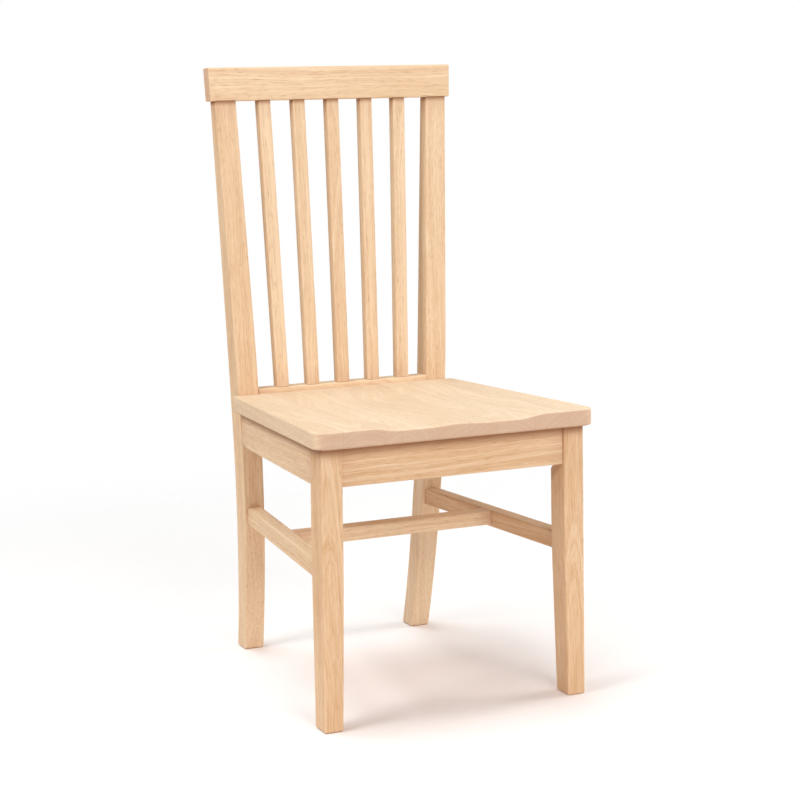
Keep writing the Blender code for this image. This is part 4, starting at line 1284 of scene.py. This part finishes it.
def seat_outline():
    """Plan of the seat as (point, inward normal) pairs, anticlockwise from the front left."""
    front, rear = SEAT_WIDTH_FRONT / 2, SEAT_WIDTH_REAR / 2
    corners = [(Vector((x, SEAT_FRONT)), FRONT_CORNER, FRONT_CORNER_STEPS) for x in (-front, front)]
    corners += [(Vector((x, SEAT_BACK)), REAR_CORNER, REAR_CORNER_STEPS) for x in (rear, -rear)]
    plan = []
    for i, (here, radius, steps) in enumerate(corners):
        following, next_radius, _ = corners[(i + 1) % len(corners)]
        back = (here - corners[i - 1][0]).normalized()
        ahead = (following - here).normalized()
        turn = back.angle(ahead)
        normal = Vector((-back.y, back.x))
        centre = here - back * (radius * math.tan(turn / 2)) + normal * radius
        for step in range(steps + 1):
            inward = Matrix.Rotation(turn * step / steps, 2) @ normal
            plan.append((centre - inward * radius, inward))
        end, inward = plan[-1]
        run = (following - end).length - next_radius
        pieces = SEAT_OUTLINE_STEPS[i]
        plan += [(end + ahead * (run * step / pieces), inward) for step in range(1, pieces)]
    return plan


plan = seat_outline()
print("the seat's plan has", len(plan), "points")

# %% Seat blank
SEAT_RINGS = 44
SEAT_ROUNDOVER_STEPS = 5
FIRST_RING_STEP = 0.006


def edge_ring(under, angle):
    """One turn of points round the rim, at this angle of the lower or the upper roundover."""
    inset = SEAT_ROUNDOVER * (1.0 - math.sin(angle))
    rise = SEAT_ROUNDOVER * (1.0 - math.cos(angle))
    worn = 1.0 - abs(math.degrees(angle) - 45.0) / 45.0
    ring = []
    for point, inward in plan:
        x, y = point + inward * inset
        z = seat_underside(y) + rise if under else SEAT_HEIGHT - seat_fall(y) - rise
        ring.append((Vector((x, y, z)), worn))
    return ring


def top_ring(share):
    """The rim's plan shrunk to a share of its size, on the flat top."""
    middle = Vector((0.0, (SEAT_FRONT + SEAT_BACK) / 2))
    places = [middle + (point + inward * SEAT_ROUNDOVER - middle) * share for point, inward in plan]
    return [(Vector((x, y, SEAT_HEIGHT - seat_fall(y))), 0.0) for x, y in places]


def seat_blank():
    angles = [math.radians(90.0 * step / SEAT_ROUNDOVER_STEPS) for step in range(SEAT_ROUNDOVER_STEPS + 1)]
    under = [edge_ring(True, angle) for angle in angles]
    over = [edge_ring(False, angle) for angle in reversed(angles)]
    over += [top_ring(1.0 - (FIRST_RING_STEP if step == 1 else step / SEAT_RINGS))
             for step in range(1, SEAT_RINGS)]
    bm = bmesh.new()
    edge_layer = bm.verts.layers.float.new("edge")
    top_layer = bm.verts.layers.float.new("top")
    rows = loft_mesh(bm, under + over, edge_layer)
    for row in rows[len(under):]:
        for vert in row:
            vert[top_layer] = 1.0
    return to_object("dished_seat", bm)


seat = seat_blank()
print("seat blank:", len(seat.data.vertices), "points")

# %% Node tree for the dish
DISH = {
    "Depth": 0.0085,
    "Depth at front": 0.0054,
    "Rim at front": 0.0885,
    "Rim at side": 0.036,
    "Rim at rear": 0.040,
    "Ease": 0.046,
    "Ease at rear": 0.100,
    "Ridge share": 0.40,
    "Ridge half width": 0.052,
    "Front": SEAT_FRONT,
    "Back": SEAT_BACK,
    "Half width front": SEAT_WIDTH_FRONT / 2,
    "Half width rear": SEAT_WIDTH_REAR / 2,
}
SIDE_RIM_FROM, FULL_DEPTH_FROM, RIDGE_ENDS = 0.5, 0.6, 0.7


def eased(tree, value, start, end, low=0.0, high=1.0):
    return put(tree, "ShaderNodeMapRange", {"interpolation_type": "SMOOTHSTEP"}, Value=value,
               From_Min=start, From_Max=end, To_Min=low, To_Max=high).outputs[0]


def hollow(tree, given):
    """How far the top is lowered at each place on the seat."""
    x, along, _ = axes_of(tree, put(tree, "GeometryNodeInputPosition").outputs[0])
    across = maths(tree, "ABSOLUTE", x)
    length = less(tree, given["Back"], given["Front"])
    back_share = maths(tree, "DIVIDE", less(tree, along, given["Front"]), length)
    half_width = put(tree, "ShaderNodeMapRange", {"clamp": False}, Value=back_share,
                     To_Min=given["Half width front"], To_Max=given["Half width rear"]).outputs[0]
    rim = eased(tree, back_share, 0.0, SIDE_RIM_FROM, given["Rim at front"], given["Rim at side"])
    from_side = eased(tree, less(tree, half_width, rim, across), 0.0, given["Ease"])
    from_rear = eased(tree, less(tree, given["Back"], given["Rim at rear"], along), 0.0,
                      given["Ease at rear"])
    depth = eased(tree, back_share, 0.0, FULL_DEPTH_FROM, given["Depth at front"], given["Depth"])
    ridge = product(tree, eased(tree, across, 0.0, given["Ridge half width"], 1.0, 0.0),
                    eased(tree, back_share, 0.0, RIDGE_ENDS, 1.0, 0.0), given["Ridge share"])
    return product(tree, depth, less(tree, 1.0, ridge), from_side, from_rear)


def dish_tree():
    inputs = [(label, "NodeSocketFloat") for label in DISH] + [("Wood", "NodeSocketMaterial")]
    tree, given, out = rule_tree("dish the seat", inputs)
    top = put(tree, "GeometryNodeInputNamedAttribute", {"data_type": "FLOAT"}, Name="top")
    on_top = next(s for s in top.outputs if s.enabled)
    drop = product(tree, hollow(tree, given), on_top, -1.0)
    offset = put(tree, "ShaderNodeCombineXYZ", Z=drop).outputs[0]
    lowered = put(tree, "GeometryNodeSetPosition", Geometry=given["Geometry"], Offset=offset).outputs[0]
    whole = put(tree, "GeometryNodeRealizeInstances", Geometry=lowered).outputs[0]
    dressed = put(tree, "GeometryNodeSetMaterial", Geometry=whole, Material=given["Wood"]).outputs[0]
    feed(tree, out.inputs, (dressed,))
    return tree


run_tree(seat, dish_tree(), {**DISH, "Wood": staved_wood})
seasoned(seat, Tree(trunk=Y, heart=Z, distance=0.1, middle=SEAT_LOW), 0.0, staved_wood)
settle(seat, "seat_panel", slot="seat_wood")

# %% [markdown]
# ## Under the seat
#
# Four corner blocks tie the aprons and legs together, and screws come up through them into the seat.
# Nobody looks at them, so they are left rough from the saw.  The plain solids already have the right
# shape; they only need wood and steel.  A solid has no board attributes, so its wood is read from its
# place in the room, turned so that the grain runs with the block.

# %% Wood and steel for the plain solids
ROUGH_TONE, ROUGH_STRENGTH, ROUGH_DEPTH = 0.28, 1.2, 0.0005
ROUGH_PLACE = (0.05, 0.07, 0.3)
DULL_ZINC, BRIGHT_ZINC = (0.50, 0.50, 0.49), (0.72, 0.72, 0.70)
QUARTER, EIGHTH = math.pi / 2, math.pi / 4


def plain_solid_wood(name, turn):
    material, tree = new_material(name)
    turned = put(tree, "ShaderNodeMapping", Vector=object_place(tree), Rotation=turn,
                 Location=ROUGH_PLACE).outputs[0]
    wood_shader(tree, *wood_figure(tree, turned, ROUGH_TONE, 0.0, 0.0, ROUGH_STRENGTH), ROUGH_DEPTH)
    return material


def zinc_steel(name):
    material, tree = new_material(name)
    spots = noise(tree, object_place(tree), 900.0, 3.0, 0.6).outputs["Fac"]
    shader = tree.nodes["Principled BSDF"]
    shader.inputs["Metallic"].default_value = 1.0
    bump = put(tree, "ShaderNodeBump", Strength=0.2, Distance=0.0001, Height=spots)
    feed(tree, (shader.inputs[name] for name in ("Base Color", "Roughness", "Normal")),
         (mix(tree, spots, DULL_ZINC, BRIGHT_ZINC), scaled(tree, spots, 0.25, 0.25),
          bump.outputs["Normal"]))
    return material


slanted_right = plain_solid_wood("block wood, grain to the right", (QUARTER, 0.0, EIGHTH))
slanted_left = plain_solid_wood("block wood, grain to the left", (QUARTER, 0.0, -EIGHTH))
dowel_wood = plain_solid_wood("dowel wood", (0.0, QUARTER, 0.0))
zinc = zinc_steel("zinc-plated steel")
print("made", slanted_right.name, "and", zinc.name)

# %% Blocks, dowels and steel
BLOCK_WOODS = {
    "corner_block_front_left": slanted_left,
    "corner_block_front_right": slanted_right,
    "corner_block_rear_left": slanted_right,
    "corner_block_rear_right": slanted_left,
}


def dress_solids():
    dressed = []
    for entry in frame["record"]["subparts"]:
        node, slot = entry["node"], entry["material_slot"]
        if slot in ("steel", "dowel_wood", "block_wood"):
            material = BLOCK_WOODS.get(node, zinc if slot == "steel" else dowel_wood)
            for place in bpy.data.objects[node].material_slots:
                place.material = material
            dressed.append(node)
    return dressed


print("dressed", len(dress_solids()), "plain solids")

# %% [markdown]
# ## Floor
#
# The chair stands on a pale, matt studio floor.  A round disc does for it, but its rim would draw a
# grey line across the white behind the chair.  So the disc turns clear towards its rim and melts into
# the bright room.

# %% Floor
FLOOR_RADIUS, FLOOR_DROP = 2.0, 0.0002
FLOOR_FADE = (0.55, 1.90)
FLOOR_COLOURS = ((0.92, 0.87, 0.86), (0.94, 0.89, 0.88))


def floor_paint():
    material, tree = new_material("pale matt floor")
    here = object_place(tree)
    clouds = noise(tree, here, 3.0, 3.0).outputs["Fac"]
    shader = tree.nodes["Principled BSDF"]
    shader.inputs["Specular IOR Level"].default_value = 0.1
    flat = vectors(tree, "MULTIPLY", here, (1.0, 1.0, 0.0))
    fade = band(tree, vectors(tree, "LENGTH", flat), *FLOOR_FADE, 1.0, 0.0)
    feed(tree, (shader.inputs[name] for name in ("Base Color", "Roughness", "Alpha")),
         (mix(tree, clouds, *FLOOR_COLOURS), scaled(tree, clouds, 0.1, 0.8), fade))
    return material


def pale_floor():
    bm = bmesh.new()
    bmesh.ops.create_circle(bm, cap_ends=True, radius=FLOOR_RADIUS, segments=96)
    bmesh.ops.translate(bm, verts=bm.verts, vec=-Z * FLOOR_DROP)
    floor = to_object("studio_floor", bm)
    floor.data.materials.append(floor_paint())
    return floor


print("floor disc", round(pale_floor().dimensions.x, 2), "m across")

# %% [markdown]
# ## Light
#
# Bare wood wants soft light.  A large panel high in front is the key, and a weak low one under it
# opens the faces of the legs.  A panel on the left and a smaller one on the right keep both flanks
# warm, and a wide, slightly blue light from overhead whitens the seat.  All round stands a dim, warm
# room, which reaches under the seat only weakly and so sets the pieces off from each other.  The room
# is warm and dim where it lights the chair, but plain white where the camera looks straight at it.

# %% Light
AIM = Vector((0.0, 0.0, 0.45))
OVERHEAD_TILT = (math.radians(-12.0), math.radians(-8.0), 0.0)
OVERHEAD_BLUE = (0.79, 0.94, 1.0)
ROOM_TINT = (1.0, 0.905, 0.80)
WHITE = (1.0, 1.0, 1.0)
HORIZON = (-0.10, 0.05)


def add_light(name, kind, power, tint):
    data = bpy.data.lights.new(name, kind)
    data.energy = power
    data.color = tint
    light = bpy.data.objects.new(name, data)
    scene.collection.objects.link(light)
    return light


def soft_panel(name, place, size, power):
    panel = add_light(name, "AREA", power, WHITE)
    panel.data.shape = "RECTANGLE"
    panel.data.size, panel.data.size_y = size
    panel.location = place
    panel.rotation_euler = (AIM - Vector(place)).to_track_quat("-Z", "Y").to_euler()


def overhead_light(name, strength, spread):
    light = add_light(name, "SUN", strength, OVERHEAD_BLUE)
    light.data.angle = math.radians(spread)
    light.location = (0.0, 0.0, 4.0)
    light.rotation_euler = OVERHEAD_TILT


def bright_room(above, below, seen):
    world = bpy.data.worlds.new("bright room")
    scene.world = world
    world.use_nodes = True
    tree = world.node_tree
    ray = put(tree, "ShaderNodeLightPath").outputs["Is Camera Ray"]
    direction = put(tree, "ShaderNodeTexCoord").outputs["Generated"]
    height = axes_of(tree, direction)["Z"]
    unseen = band(tree, height, *HORIZON, below, above)
    level = scaled(tree, ray, less(tree, seen, unseen), unseen)
    back = tree.nodes["Background"]
    feed(tree, (back.inputs["Strength"], back.inputs["Color"]), (level, mix(tree, ray, ROOM_TINT, WHITE)))


soft_panel("key_panel", place=(0.1, -2.9, 2.0), size=(1.5, 1.5), power=40.0)
soft_panel("low_panel", place=(0.3, -3.2, 0.9), size=(1.6, 0.9), power=8.0)
soft_panel("left_panel", place=(-2.5, -0.5, 2.5), size=(1.3, 1.3), power=47.0)
soft_panel("right_panel", place=(2.6, -0.25, 1.45), size=(1.3, 1.0), power=33.0)
overhead_light("overhead_light", strength=1.65, spread=36.0)
bright_room(above=0.29, below=0.58, seen=1.0)
scene.view_settings.view_transform = "Standard"
scene.view_settings.look = "None"
